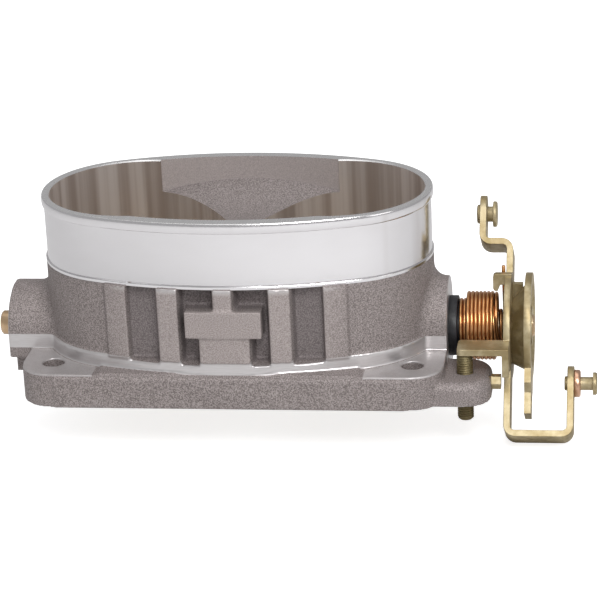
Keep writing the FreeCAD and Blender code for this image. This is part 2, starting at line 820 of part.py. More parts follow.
def throttle_housing():
    """One-piece housing: flange, barrel, bosses, ear, ribbed panels and hose collar."""
    body = doc.addObject("PartDesign::Body", "housing_casting")
    housing_barrel(body)
    housing_bosses(body)
    housing_flange(body)
    housing_ear(body)
    housing_sensor_pad(body)
    housing_clear_boss_foot(body)
    housing_band(body)
    housing_panels(body)
    housing_collar(body)
    housing_bores(body)
    housing_shaft_line(body)
    housing_screw_holes(body)
    subpart(cut(body, inlet_hollow()), "throttle_housing")


# ---------------------------------------------------------------- shaft, plates and bearings

def throttle_shaft():
    """Shaft with a slot and a screw flat in each bore, and a flatted spigot for the lever."""
    shaft = turned("shaft_blank", (
        ("-shaft_left", "drive_radius - end_chamfer"),
        ("-shaft_left + end_chamfer", "drive_radius"),
        ("-drive_start", "drive_radius"),
        ("-drive_start", "shaft_radius"),
        ("shaft_shoulder", "shaft_radius"),
        ("shaft_shoulder", "spigot_radius"),
        ("shaft_right - end_chamfer", "spigot_radius"),
        ("shaft_right", "spigot_radius - end_chamfer"),
    ), up="shaft_height")
    tools = []
    for sign in ("-", ""):
        start = sign + "bore_offset - plate_radius - 5 * slot_play"
        length = "2 * plate_radius + 10 * slot_play"
        tools.append(box(length, "2 * shaft_radius + 2", "plate_thick + 2 * slot_play", start,
                         "-shaft_radius - 1", "shaft_height - plate_thick / 2 - slot_play"))
        tools.append(box(length, "2 * shaft_radius + 2", "shaft_radius", start,
                         "-shaft_radius - 1", "shaft_height + shaft_flat"))
        for step in ("-", "+"):
            across = sign + "bore_offset " + step + " plate_screw_pitch"
            tools.append(upright_cylinder("plate_screw_radius + plate_screw_play", "2 * shaft_radius",
                                          across, "0", "shaft_height - shaft_radius"))
    for start in ("spigot_flat", "-spigot_flat - spigot_radius"):
        tools.append(box("shaft_right - shaft_shoulder + 1", "spigot_radius", "2 * spigot_radius",
                         "shaft_shoulder", start, "shaft_height - spigot_radius"))
    subpart(cut(shaft, *tools), "throttle_shaft")


def throttle_plate(label, sign):
    """Round plate that closes one bore, with two holes for its screws."""
    body = doc.addObject("PartDesign::Body", label)
    outline = new_sketch(body, label + "_outline")
    circle(outline, "0", "0", "plate_radius")
    pad(body, outline, "plate_thick", both_ways=True)
    holes = new_sketch(body, label + "_holes")
    for across in ("-plate_screw_pitch", "plate_screw_pitch"):
        circle(holes, across, "0", "plate_screw_radius + 2 * plate_screw_play")
    pocket(body, holes, "2 * plate_thick", both_ways=True)
    place(body, sign + "bore_offset", "0", "shaft_height")
    subpart(body, label)


def plate_screws():
    """Four screws that hold the plates in the shaft's slots."""
    screws = []
    for sign in ("-", ""):
        for step in ("-", "+"):
            across = sign + "bore_offset " + step + " plate_screw_pitch"
            shank = upright_cylinder("plate_screw_radius", "plate_screw_low + shaft_flat", across, "0",
                                     "shaft_height - plate_screw_low")
            head = upright_cylinder("plate_screw_head", "plate_screw_head_tall", across, "0",
                                    "shaft_height + shaft_flat")
            slot = box("2 * plate_screw_head + 1", "end_chamfer", "plate_screw_head_tall",
                       across + " - plate_screw_head - 0.5", "-end_chamfer / 2",
                       "shaft_height + shaft_flat + plate_screw_head_tall / 2")
            screws.append(cut(fuse(shank, head), slot))
    group = doc.addObject("Part::Compound", "plate_screw_group")
    group.Links = screws
    subpart(group, "plate_screws")


def bearings():
    """Bushing and seal in each boss."""
    clear = "shaft_radius + shaft_clearance"
    subpart(ring("bushing_outer", clear, "-bushing_left_outer_end", "-bushing_left_inner_end"),
            "shaft_bushing_left")
    subpart(ring("bushing_outer", clear, "bushing_right_inner_end", "bushing_right_outer_end"),
            "shaft_bushing_right")
    subpart(ring("seal_outer", clear, "-seal_left_end", "-bushing_left_outer_end"), "shaft_seal_left")
    subpart(ring("seal_outer", clear, "bushing_right_outer_end", "boss_right_end"), "shaft_seal_right")


def spring_guide_bushing():
    """Nylon bushing against the right boss, with a hub that guides the return springs."""
    outside = turned("spring_guide", (
        ("boss_right_end", "guide_flange"),
        ("guide_flange_end", "guide_flange"),
        ("guide_flange_end", "guide_hub"),
        ("guide_hub_end", "guide_hub"),
    ), up="shaft_height")
    bore = cylinder("guide_bore", "guide_hub_end - boss_right_end + 2", "boss_right_end - 1")
    subpart(cut(outside, bore), "spring_guide_bushing")


# ---------------------------------------------------------------- return springs

ANCHOR_ANGLE = -27.0


def anchor_place():
    """Where the spring anchor pin stands behind the shaft, as formulas for Y and Z."""
    return "anchor_radius * 0.891", "shaft_height - anchor_radius * 0.454"


def spring_anchor_pin():
    """Pin in the right boss that holds the fixed ends of both springs."""
    subpart(cylinder("anchor_pin", "anchor_right - anchor_left", "anchor_left", *anchor_place()),
            "spring_anchor_pin")


def spring_point(across, radius, angle):
    """Point of a spring's centre line; the angle is from +Y towards +Z, in degrees."""
    turn = math.radians(angle)
    return FreeCAD.Vector(across, radius * math.cos(turn), value("shaft_height") + radius * math.sin(turn))


def coil_points(stretches, steps_per_turn=16):
    """Points of a wound wire, through stretches of (across, radius, angle) reached one by one."""
    points = []
    for (x0, r0, a0), (x1, r1, a1) in zip(stretches, stretches[1:]):
        steps = max(3, round((a1 - a0) / 360 * steps_per_turn))
        for i in range(steps):
            part = i / steps
            points.append(spring_point(x0 + (x1 - x0) * part, r0 + (r1 - r0) * part, a0 + (a1 - a0) * part))
    points.append(spring_point(*stretches[-1]))
    return points


def leg_points(across, radius, angle, near, far, steps=3):
    """Points of a straight leg that leaves a coil along its tangent, between two distances."""
    turn = math.radians(angle)
    touch = spring_point(across, radius, angle)
    along = FreeCAD.Vector(0, -math.sin(turn), math.cos(turn))
    return [touch + along * (near + (far - near) * i / (steps - 1)) for i in range(steps)]


def tangent_lead(radius, reach):
    """Angle and length by which a tangent leg leads the point where it reaches a larger radius."""
    return math.degrees(math.acos(radius / reach)), math.sqrt(reach ** 2 - radius ** 2)


def wire_frames(points, parameters):
    """Two directions square to the wire at each of its points, turning as little as they can."""
    curve = Part.BSplineCurve()
    curve.interpolate(Points=points, Parameters=parameters)
    frames = []
    across = FreeCAD.Vector(1, 0, 0)
    for parameter in parameters:
        along = curve.tangent(parameter)[0]
        across = (across - along * across.dot(along)).normalize()
        frames.append((across, along.cross(across)))
    return frames


def wire_surface(points, half):
    """Half of a wire's skin: the exact half circle at every point, joined by cubic curves."""
    parameters = [float(i) for i in range(len(points))]
    frames = wire_frames(points, parameters)
    poles, weights = [], []
    for corner in range(5):
        turn = math.pi * half + math.pi / 4 * corner
        weight = math.sqrt(0.5) if corner % 2 else 1.0
        reach = value("wire / 2") / weight
        rail = Part.BSplineCurve()
        rail.interpolate(Parameters=parameters, Points=[
            point + across * (reach * math.cos(turn)) + up * (reach * math.sin(turn))
            for point, (across, up) in zip(points, frames)])
        poles.append(rail.getPoles())
        weights.append([weight] * rail.NbPoles)
    surface = Part.BSplineSurface()
    surface.buildFromPolesMultsKnots(poles, [3, 2, 3], rail.getMultiplicities(), [0, 1, 2], rail.getKnots(),
                                     False, False, 2, 3, weights)
    return surface.toShape()


def wire_solid(points):
    """Round wire along a smooth curve through points, with flat ends."""
    halves = [wire_surface(points, half) for half in (0, 1)]
    ends = []
    for end in (points[0], points[-1]):
        rims = [edge for half in halves for edge in half.Edges
                if edge.CenterOfMass.distanceToPoint(end) < value("wire")
                and edge.Length < 4 * value("wire")]
        ends.append(Part.Face(Part.Wire(rims)))
    shell = Part.makeShell(halves + ends)
    shell.sewShape()
    return Part.Solid(Part.Shell(shell.Faces))


def spring(label, points):
    """Spring whose shape is swept in code."""
    thing = doc.addObject("Part::Feature", label + "_wire")
    thing.Shape = wire_solid(points)
    subpart(thing, label)


def first_touch(radius):
    """Angle at which a coil starts so that its straight leg passes just inside the anchor pin."""
    beside = radius + value("anchor_pin + wire / 2 + thread_play")
    along = math.sqrt(value("anchor_radius") ** 2 - beside ** 2)
    return ANCHOR_ANGLE + math.degrees(math.atan2(along, beside)), along


def whole_turns(start, end, turns):
    """Angle of the given end direction, after a start angle and about so many turns."""
    return start + 360 * turns + (end - start) % 360


def outer_return_spring():
    """Outer spring: large coils, then two small ones on the shaft and a leg up behind the hook."""
    left, right, radius = value("outer_left"), value("outer_right"), value("outer_coil")
    small, small_right = value("small_coil"), value("small_right")
    start, beside_pin = first_touch(radius)
    top = math.hypot(value("hook_high"), value("hook_half + wire / 2 + 2 * thread_play"))
    back = math.degrees(math.asin(value("hook_half + wire / 2 + 2 * thread_play") / top))
    lead, reach = tangent_lead(small, top)
    coil_stop = whole_turns(start, 60, value("outer_turns"))
    small_stop = whole_turns(coil_stop, 90 - back - lead, value("small_turns"))
    points = leg_points(left, radius, start, -beside_pin - value("outer_leg_over"), -2)
    points += coil_points((
        (left, radius, start),
        (right, radius, coil_stop),
        (right + value("wire") * 0.6, small, coil_stop + value("spring_drop_angle")),
        (small_right, small, small_stop)))
    points += leg_points(small_right, small, small_stop, 2, reach + value("outer_end_over"), steps=5)
    spring("outer_return_spring", points)


def inner_return_spring():
    """Inner spring: even coils around the guide, and a leg under the lever's rear lug."""
    left, right, radius = value("inner_left"), value("inner_right"), value("inner_coil")
    start, beside_pin = first_touch(radius)
    stop = whole_turns(start, -90, value("inner_turns"))
    points = leg_points(left, radius, start, -beside_pin - value("inner_leg_over"), -2, steps=4)
    points += coil_points((
        (left, radius, start),
        (right, radius, stop - value("spring_drop_angle")),
        (value("inner_leg_at"), radius, stop)))
    points += leg_points(value("inner_leg_at"), radius, stop, 2, value("inner_leg_reach"), steps=5)
    spring("inner_return_spring", points)


# ---------------------------------------------------------------- lever, cam and studs

def leaning(thing):
    """Lean a piece built upright at the shaft axis back to the arms' angle."""
    thing.Placement = FreeCAD.Placement(FreeCAD.Vector(), FreeCAD.Rotation(X_AXIS, -value("lever_lean")))
    bind(thing, **{"Placement.Base.z": "shaft_height"})
    return thing


def lever_arms():
    """Bent strip from the joggled upper end to the upturned lower end, with the hub disc."""
    body = doc.addObject("PartDesign::Body", "lever_arms")
    strip = new_sketch(body, "arm_strip", "XZ_Plane")
    plate_right = "shaft_shoulder + lever_sheet"
    polygon(strip, [
        ("joggle_left", "upper_end"),
        ("joggle_left + lever_sheet", "upper_end"),
        ("joggle_left + lever_sheet", "joggle_top"),
        (plate_right, "joggle_top"),
        (plate_right, "-lower_end + lever_sheet"),
        ("upright_right - lever_sheet", "-lower_end + lever_sheet"),
        ("upright_right - lever_sheet", "-upright_top"),
        ("upright_right", "-upright_top"),
        ("upright_right", "-lower_end"),
        ("shaft_shoulder", "-lower_end"),
        ("shaft_shoulder", "joggle_top - lever_sheet"),
        ("joggle_left", "joggle_top - lever_sheet"),
    ])
    pad(body, strip, "2 * arm_half_width", both_ways=True)
    inner = [("joggle_left + lever_sheet", "joggle_top"), ("shaft_shoulder", "joggle_top - lever_sheet"),
             (plate_right, "-lower_end + lever_sheet"),
             ("upright_right - lever_sheet", "-lower_end + lever_sheet")]
    outer = [("joggle_left", "joggle_top - lever_sheet"), (plate_right, "joggle_top"),
             ("shaft_shoulder", "-lower_end"), ("upright_right", "-lower_end")]
    for name, radius, corners in (("inner_bends", "bend_inner", inner), ("outer_bends", "bend_outer", outer)):
        places = [(value(across), value(up)) for across, up in corners]

        def at_bend(bounds):
            across_strip = bounds.XLength < 0.01 and bounds.ZLength < 0.01
            return across_strip and any(abs(bounds.XMin - x) + abs(bounds.ZMin - z) < 0.01 for x, z in places)
        round_edges(body, name, radius, at_bend)

    def at_end(bounds):
        along_x = bounds.YLength < 0.01 and bounds.ZLength < 0.01
        tall = abs(bounds.ZMin - value("upper_end")) < 0.01 or abs(bounds.ZMin + value("upright_top")) < 0.01
        return along_x and tall
    round_edges(body, "arm_ends", "arm_round", at_end)
    disc = new_sketch(body, "hub_disc", "YZ_Plane", "shaft_shoulder")
    circle(disc, "0", "0", "lever_disc")
    pad(body, disc, "lever_sheet")
    for name, start, up, radius in (
            ("hub_hole", "shaft_shoulder", "0", "spigot_radius + thread_play"),
            ("upper_stud_hole", "joggle_left", "upper_stud_at", "upper_stud_shank"),
            ("link_stud_hole", "upright_right - lever_sheet", "-link_stud_at", "link_stud_shank")):
        hole = new_sketch(body, name, "YZ_Plane", start)
        circle(hole, "0", up, radius)
        pocket(body, hole, "lever_sheet", reverse=True)
    rivets = new_sketch(body, "rivet_holes", "YZ_Plane", "shaft_shoulder")
    for across in ("-rivet_half_pitch", "rivet_half_pitch"):
        circle(rivets, across, "-rivet_drop", "rivet_radius")
    pocket(body, rivets, "lever_sheet", reverse=True)
    return leaning(body)


def lever_tabs():
    """Stop tab, spring hook and rear lug of the lever, which stand square to the body at rest."""
    plate_right = "shaft_shoulder + lever_sheet"
    stop = box(plate_right + " - stop_tab_left", "stop_tab_front - stop_tab_back", "lever_sheet",
               "stop_tab_left", "-stop_tab_front", "shaft_height - stop_tab_low")
    stop_lug = box("lever_sheet", "stop_tab_front - stop_lug_back",
                   "stop_lug_low + lever_sheet - stop_tab_low", "shaft_shoulder", "-stop_tab_front",
                   "shaft_height - stop_lug_low")
    rear_lug = box(plate_right + " - rear_lug_left", "rear_lug_far - rear_lug_near", "lever_sheet",
                   "rear_lug_left", "rear_lug_near",
                   "shaft_height - inner_coil + wire / 2 + rear_lug_play")
    rounded = doc.addObject("Part::Fillet", "stop_tab_round")
    rounded.Base = stop
    doc.recompute()
    left_corners = [i for i, edge in enumerate(stop.Shape.Edges, start=1)
                    if edge.BoundBox.ZLength > 1 and edge.BoundBox.XMax < value("stop_tab_left") + 1]
    corner = value("stop_tab_round")
    rounded.Edges = [(i, corner, corner) for i in left_corners]
    return [rounded, stop_lug, spring_hook(), rear_lug]


def spring_hook():
    """Hook on the lever's disc that the outer spring's leg stands behind."""
    body = doc.addObject("PartDesign::Body", "spring_hook")
    outline = new_sketch(body, "hook_outline", "XZ_Plane")
    plate_right = "shaft_shoulder + lever_sheet"
    polygon(outline, [("hook_left", "hook_high"), (plate_right, "hook_high"), (plate_right, "hook_throat"),
                      ("hook_throat_left", "hook_throat"), ("hook_tip_right", "hook_tip"),
                      ("hook_left", "hook_tip")])
    pad(body, outline, "2 * hook_half", both_ways=True)

    def at_left(bounds):
        return bounds.XLength < 0.01 and bounds.ZLength < 0.01 and bounds.XMin < value("hook_left") + 0.01
    round_edges(body, "hook_rounding", "hook_round", at_left)
    bind(body, **{"Placement.Base.z": "shaft_height"})
    return body


def throttle_lever():
    """Throttle lever pressed from one sheet: hub disc, two arms, stop tab and spring hook."""
    subpart(fuse(lever_arms(), *lever_tabs()), "throttle_lever")


def cable_cam():
    """Cam plate with a cable tongue, dished inwards so that its floor sits on the lever."""
    body = doc.addObject("PartDesign::Body", "cable_cam_body")
    disc = new_sketch(body, "cam_disc_outline", "YZ_Plane", "cam_left")
    circle(disc, "0", "0", "cam_disc")
    pad(body, disc, "cam_sheet")
    tongue = new_sketch(body, "cam_tongue_outline", "YZ_Plane", "cam_left")
    polygon(tongue, [("-cam_tongue_half", "0"), ("-cam_tongue_half", "-cam_step + 3"),
                     ("-cam_tip_half", "-cam_step"), ("-cam_tip_half", "-cam_tongue"),
                     ("cam_tip_half", "-cam_tongue"), ("cam_tip_half", "-cam_step"),
                     ("cam_tongue_half", "-cam_step + 3"), ("cam_tongue_half", "0")])
    pad(body, tongue, "cam_sheet")
    lever_face = "shaft_shoulder + lever_sheet"
    dish(body, "dish_outside", "PartDesign::AdditiveLoft", lever_face, "cam_left + cam_sheet / 2", "0")
    dish(body, "dish_inside", "PartDesign::SubtractiveLoft", lever_face + " + dish_sheet",
         "cam_left + cam_sheet + 0.01", "dish_sheet")
    for name, sketch_circles in (
            ("cam_hub_hole", [("0", "0", "spigot_radius + thread_play")]),
            ("cam_rivet_holes", [("-rivet_half_pitch", "-rivet_drop", "rivet_radius"),
                                 ("rivet_half_pitch", "-rivet_drop", "rivet_radius")]),
            ("cable_hole_cut", [("0", "-cable_hole_drop", "cable_hole")])):
        sketch = new_sketch(body, name, "YZ_Plane", lever_face)
        for across, up, radius in sketch_circles:
            circle(sketch, across, up, radius)
        pocket(body, sketch, "cam_left + cam_sheet + 1 - (%s)" % lever_face, reverse=True)
    tab = box("locating_tab_right - (%s)" % lever_face, "locating_tab_far - locating_tab_near",
              "locating_tab_high - locating_tab_low", lever_face, "locating_tab_near",
              "shaft_height + locating_tab_low")
    subpart(fuse(leaning(body), tab), "cable_cam")


def dish(body, name, kind, floor, rim, inset):
    """Loft between the dish's small offset floor and its rim, set in by a formula."""
    small = new_sketch(body, name + "_floor", "YZ_Plane", floor)
    circle(small, "0", "-dish_floor_drop", "dish_floor - 0.6 * (%s)" % inset)
    large = new_sketch(body, name + "_rim", "YZ_Plane", rim)
    circle(large, "0", "0", "dish_rim - 0.6 * (%s)" % inset)
    loft = body.newObject(kind, name)
    loft.Profile = small
    loft.Sections = [large]
    body.Tip = loft
    doc.recompute()


def cam_rivets():
    """Two rivets through the lever and the floor of the cam's dish."""
    start = "shaft_shoulder - rivet_head_tall"
    floor = "shaft_shoulder + lever_sheet + dish_sheet"
    rivets = []
    for across in ("-rivet_half_pitch", "rivet_half_pitch"):
        rivets.append(turned("cam_rivet", (
            (start, "rivet_head - rivet_edge"),
            (start + " + rivet_edge", "rivet_head"),
            ("shaft_shoulder", "rivet_head"),
            ("shaft_shoulder", "rivet_radius"),
            (floor, "rivet_radius"),
            (floor, "rivet_head"),
            (floor + " + rivet_head_tall - rivet_edge", "rivet_head"),
            (floor + " + rivet_head_tall", "rivet_head - rivet_edge"),
        ), back=across, up="-rivet_drop"))
    group = doc.addObject("Part::Compound", "cam_rivet_group")
    group.Links = rivets
    subpart(leaning(group), "cam_rivets")


def stud(label, at, steps):
    """Turned stud riveted into the lever at a distance up the arm line."""
    body = turned(label + "_turned", steps)
    lean = math.radians(value("lever_lean"))
    body.Placement = FreeCAD.Placement(FreeCAD.Vector(), FreeCAD.Rotation(X_AXIS, -value("lever_lean")))
    bind(body, **{"Placement.Base.y": "(%s) * %.6f" % (at, math.sin(lean)),
                  "Placement.Base.z": "shaft_height + (%s) * %.6f" % (at, math.cos(lean))})
    return body


def lever_studs():
    """Grooved cable stud on the upper arm, and the linkage stud with its collar on the upright."""
    arm_left, arm_right = "joggle_left", "joggle_left + lever_sheet"
    subpart(stud("upper_cable_stud", "upper_stud_at", (
        (arm_left + " - upper_stud_rivet_tall", "upper_stud_rivet - 0.4"),
        (arm_left + " - upper_stud_rivet_tall + 0.4", "upper_stud_rivet"),
        (arm_left, "upper_stud_rivet"),
        (arm_left, "upper_stud_shank"),
        (arm_right, "upper_stud_shank"),
        (arm_right, "upper_stud_neck"),
        ("upper_stud_neck_end", "upper_stud_neck"),
        ("upper_stud_neck_end", "upper_stud_head"),
        ("upper_stud_end - 0.4", "upper_stud_head"),
        ("upper_stud_end", "upper_stud_head - 0.4"),
    )), "upper_cable_stud")
    upright_left = "upright_right - lever_sheet"
    subpart(stud("linkage_stud", "-link_stud_at", (
        (upright_left + " - link_stud_rivet_tall", "link_stud_rivet - 0.3"),
        (upright_left + " - link_stud_rivet_tall + 0.3", "link_stud_rivet"),
        (upright_left, "link_stud_rivet"),
        (upright_left, "link_stud_shank"),
        ("link_stud_head_start", "link_stud_shank"),
        ("link_stud_head_start", "link_stud_head"),
        ("link_stud_end - 0.4", "link_stud_head"),
        ("link_stud_end", "link_stud_head - 0.4"),
    )), "linkage_stud")
    collar_blank = stud("stud_collar", "-link_stud_at", (
        ("upright_right", "collar_radius"),
        ("collar_end_at - 0.5", "collar_radius"),
        ("collar_end_at", "collar_radius - 0.5"),
    ))
    collar_hole = stud("stud_collar_hole", "-link_stud_at", (
        ("upright_right - 1", "link_stud_shank"), ("collar_end_at + 1", "link_stud_shank")))
    subpart(cut(collar_blank, collar_hole), "stud_collar")


# ---------------------------------------------------------------- fasteners

def hexagon(body, name, across_flats, plane, offset):
    """Sketch of a hexagon with two flats level, held by its corners."""
    sketch = new_sketch(body, name, plane, offset)
    half = "(%s) / 2" % across_flats
    point = "(%s) / sqrt(3)" % across_flats
    polygon(sketch, [(point, "0"), (point + " / 2", half), ("-" + point + " / 2", half),
                     ("-" + point, "0"), ("-" + point + " / 2", "-" + half), (point + " / 2", "-" + half)])
    return sketch


def shaft_fasteners():
    """Lock washer and nut that clamp the lever and the cam on the shaft's spigot."""
    washer_start = "shaft_shoulder + lever_sheet + dish_sheet"
    nut_start = washer_start + " + washer_thick"
    subpart(ring("washer_radius", "spigot_radius + thread_play", washer_start, nut_start), "lock_washer")
    nut = doc.addObject("PartDesign::Body", "nut_blank")
    pad(nut, hexagon(nut, "nut_outline", "nut_across", "YZ_Plane", nut_start), "nut_thick")
    place(nut, up="shaft_height")
    thread = cylinder("spigot_radius + thread_play", "nut_thick + 2", nut_start + " - 1")
    chamfer = turned("nut_chamfer", (
        (nut_start, "nut_across / 2"),
        (nut_start + " + end_chamfer", "nut_across / 2 + 2 * end_chamfer"),
        (nut_start + " + nut_thick - end_chamfer", "nut_across / 2 + 2 * end_chamfer"),
        (nut_start + " + nut_thick", "nut_across / 2"),
    ), up="shaft_height")
    rounded = doc.addObject("Part::Common", "nut_rounded")
    rounded.Base = nut
    rounded.Tool = chamfer
    subpart(cut(rounded, thread), "shaft_nut")


def idle_stop_screw():
    """Upright stop screw that the lever's tab rests on, with a hexagon socket in its foot."""
    body = doc.addObject("PartDesign::Body", "idle_screw_body")
    sketch = new_sketch(body, "idle_screw_outline", offset="-idle_screw_low")
    circle(sketch, "0", "0", "idle_screw_radius")
    pad(body, sketch, "idle_screw_low + shaft_height - stop_tab_low - idle_screw_gap")

    def end_edge(bounds):
        return bounds.ZLength < 0.01
    round_edges(body, "idle_screw_ends", "idle_screw_tip", end_edge, "PartDesign::Chamfer", "Size")
    key = hexagon(body, "idle_screw_socket", "2 * idle_screw_key", "XY_Plane", "-idle_screw_low")
    pocket(body, key, "idle_screw_key_depth", reverse=True)
    place(body, "idle_screw_at", "-idle_screw_front", "0")
    subpart(body, "idle_stop_screw")


def idle_screw_lock():
    """Hexagon-headed screw in the ear's side that locks the idle stop screw."""
    body = doc.addObject("PartDesign::Body", "lock_screw_body")
    head = hexagon(body, "lock_screw_head", "lock_screw_across", "YZ_Plane", "ear_right")
    pad(body, head, "lock_screw_end - ear_right")
    shank = new_sketch(body, "lock_screw_shank", "YZ_Plane", "lock_screw_tip")
    circle(shank, "0", "0", "lock_screw_radius")
    pad(body, shank, "ear_right - lock_screw_tip")
    place(body, "0", "-lock_screw_front", "lock_screw_height")
    subpart(body, "idle_screw_lock")


# ---------------------------------------------------------------- build, check and write

throttle_housing()
throttle_shaft()
throttle_plate("throttle_plate_left", "-")
throttle_plate("throttle_plate_right", "")
plate_screws()
bearings()
spring_guide_bushing()
spring_anchor_pin()
outer_return_spring()
inner_return_spring()
throttle_lever()
cable_cam()
cam_rivets()
lever_studs()
shaft_fasteners()
idle_stop_screw()
idle_screw_lock()
doc.recompute()

for thing in doc.Objects:
    if "Invalid" in thing.State or "Error" in thing.State:
        raise RuntimeError("%s did not build: %s" % (thing.Label, thing.State))
for thing in subparts:
    if thing.Shape.isNull() or not thing.Shape.isValid() or not thing.Shape.Solids:
        raise RuntimeError("%s has no sound solid" % thing.Label)

os.makedirs("parts", exist_ok=True)
for thing in subparts:
    thing.Shape.exportStep("parts/%s.step" % thing.Label)
    bounds = thing.Shape.BoundBox
    print("%-22s solids %d volume %9.1f  X %.1f..%.1f Y %.1f..%.1f Z %.1f..%.1f" % (
        thing.Label, len(thing.Shape.Solids), thing.Shape.Volume, bounds.XMin, bounds.XMax,
        bounds.YMin, bounds.YMax, bounds.ZMin, bounds.ZMax))
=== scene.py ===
import json
import math

import bmesh
import bpy
from mathutils import Matrix, Quaternion, Vector


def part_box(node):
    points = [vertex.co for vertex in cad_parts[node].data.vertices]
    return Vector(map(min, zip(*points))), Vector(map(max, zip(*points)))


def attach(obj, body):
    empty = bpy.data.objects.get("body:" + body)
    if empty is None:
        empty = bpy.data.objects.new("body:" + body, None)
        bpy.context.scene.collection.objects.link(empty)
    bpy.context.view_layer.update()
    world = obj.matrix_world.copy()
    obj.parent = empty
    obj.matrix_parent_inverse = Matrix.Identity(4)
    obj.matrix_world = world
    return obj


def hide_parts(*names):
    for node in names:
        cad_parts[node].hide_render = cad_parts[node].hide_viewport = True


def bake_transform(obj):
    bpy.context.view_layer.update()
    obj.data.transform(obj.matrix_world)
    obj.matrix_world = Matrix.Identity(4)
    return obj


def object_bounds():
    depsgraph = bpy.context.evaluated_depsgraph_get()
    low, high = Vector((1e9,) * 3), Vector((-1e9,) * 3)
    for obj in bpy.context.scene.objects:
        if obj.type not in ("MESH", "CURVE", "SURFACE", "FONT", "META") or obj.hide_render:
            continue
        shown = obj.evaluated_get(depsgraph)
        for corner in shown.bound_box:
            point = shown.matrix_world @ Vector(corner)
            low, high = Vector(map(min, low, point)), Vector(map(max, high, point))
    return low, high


# Looks of the twin-bore throttle body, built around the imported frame. Lengths are in metres;
# MM turns a size in millimetres into metres.
MM = 0.001
UP = Vector((0, 0, 1))

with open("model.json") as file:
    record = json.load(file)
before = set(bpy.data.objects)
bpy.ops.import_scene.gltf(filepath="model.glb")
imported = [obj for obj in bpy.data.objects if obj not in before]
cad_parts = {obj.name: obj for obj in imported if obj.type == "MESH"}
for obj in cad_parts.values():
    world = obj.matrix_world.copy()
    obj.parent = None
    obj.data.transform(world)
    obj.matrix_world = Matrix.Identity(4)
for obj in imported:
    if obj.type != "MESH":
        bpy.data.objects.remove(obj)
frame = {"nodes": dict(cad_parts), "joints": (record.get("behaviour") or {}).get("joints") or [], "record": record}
cad_low, cad_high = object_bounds()
nodes = frame["nodes"]
hinge = [joint for joint in frame["joints"] if joint["name"] == "throttle_rotation"][0]
SHAFT_Z = hinge["pos_m"][2]
RIM_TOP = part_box("throttle_housing")[1].z

# The oval is four tangent arcs around two centres; each outline is an (end radius, side half-width) pair.
BORE_OFFSET = (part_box("throttle_plate_right")[0].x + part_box("throttle_plate_right")[1].x) / 2
BORE_RADIUS = 32.5 * MM
LINER_RADIUS = 33.35 * MM
COLLAR = (34.7 * MM, 41.5 * MM)
LEDGE = (35.3 * MM, 41.8 * MM)
BAND = (36.1 * MM, 41.9 * MM)
LEDGE_BOTTOM = 45.0 * MM
COLLAR_BOTTOM = 46.1 * MM
BEAD_BOTTOM = 65.6 * MM
BEAD_PROUD = 0.8 * MM
RIM_CHAMFER = 0.45 * MM
SHAFT_PASSAGE = 4.95 * MM
BARREL_REACH = 75 * MM

# the saddle-floored hollow between the bores
HOLLOW_SIDE = 37.4 * MM
HOLLOW_SIDE_ARC = 126 * MM
HOLLOW_HALF = 33.6 * MM
HOLLOW_FLOOR = 52 * MM
HOLLOW_FLAT = 15 * MM
HOLLOW_CURVE = 32.8 * MM

# heights and reaches of the ribbed panels and of the machined places on the casting
PANEL = (17.0 * MM, 45.5 * MM)
PANEL_HALF = 44.5 * MM
FOOT = (12.9 * MM, 18.0 * MM)
SPOT_FACE = (11.95 * MM, 12.6 * MM)
SPOT_REACH = (49 * MM, 76.4 * MM)
BOSS_START = 62 * MM
BOSS_HALF = 19 * MM
LEFT_END = -84.9 * MM
RIGHT_END = (76.35 * MM, 76.7 * MM)
BOSS_FACE_HALF = 18.2 * MM

# springs: wire radius, the pin that holds their fixed ends, and where the lever's hook stands from the shaft
WIRE = 0.68 * MM
ANCHOR_PIN = 1.5 * MM
ANCHOR_RADIUS = 14.6 * MM
ANCHOR_ANGLE = -27.0
HOOK_HEIGHT = 20.2 * MM
HOOK_SIDE = 1.35 * MM + WIRE + 0.1 * MM
LEG_GAP = 0.6 * MM


# ---------------------------------------------------------------- mesh helpers

def mesh_object(name, points, faces, smooth_angle=35):
    """New mesh object from points and faces, smooth except over edges sharper than an angle."""
    mesh = bpy.data.meshes.new(name)
    mesh.from_pydata([tuple(p) for p in points], [], faces)
    mesh.validate()
    thing = bpy.data.objects.new(name, mesh)
    bpy.context.scene.collection.objects.link(thing)
    tidy_normals(thing)
    shade(thing, smooth_angle)
    return thing


def tidy_normals(thing):
    """Turn every face of a closed mesh outwards."""
    shape = bmesh.new()
    shape.from_mesh(thing.data)
    bmesh.ops.recalc_face_normals(shape, faces=shape.faces)
    shape.to_mesh(thing.data)
    shape.free()


def shade(thing, smooth_angle):
    """Shade smooth, keeping edges sharper than an angle in degrees."""
    for face in thing.data.polygons:
        face.use_smooth = True
    thing.data.set_sharp_from_angle(angle=math.radians(smooth_angle))


def apply_modifiers(thing):
    """Replace an object's mesh with its evaluated one."""
    depsgraph = bpy.context.evaluated_depsgraph_get()
    mesh = bpy.data.meshes.new_from_object(thing.evaluated_get(depsgraph))
    thing.modifiers.clear()
    thing.data = mesh


def boolean(thing, tool, operation):
    """Cut, join or intersect with another object, which is then removed."""
    modifier = thing.modifiers.new("boolean", "BOOLEAN")
    modifier.object = tool
    modifier.operation = operation
    modifier.solver = "EXACT"
    apply_modifiers(thing)
    bpy.data.objects.remove(tool)


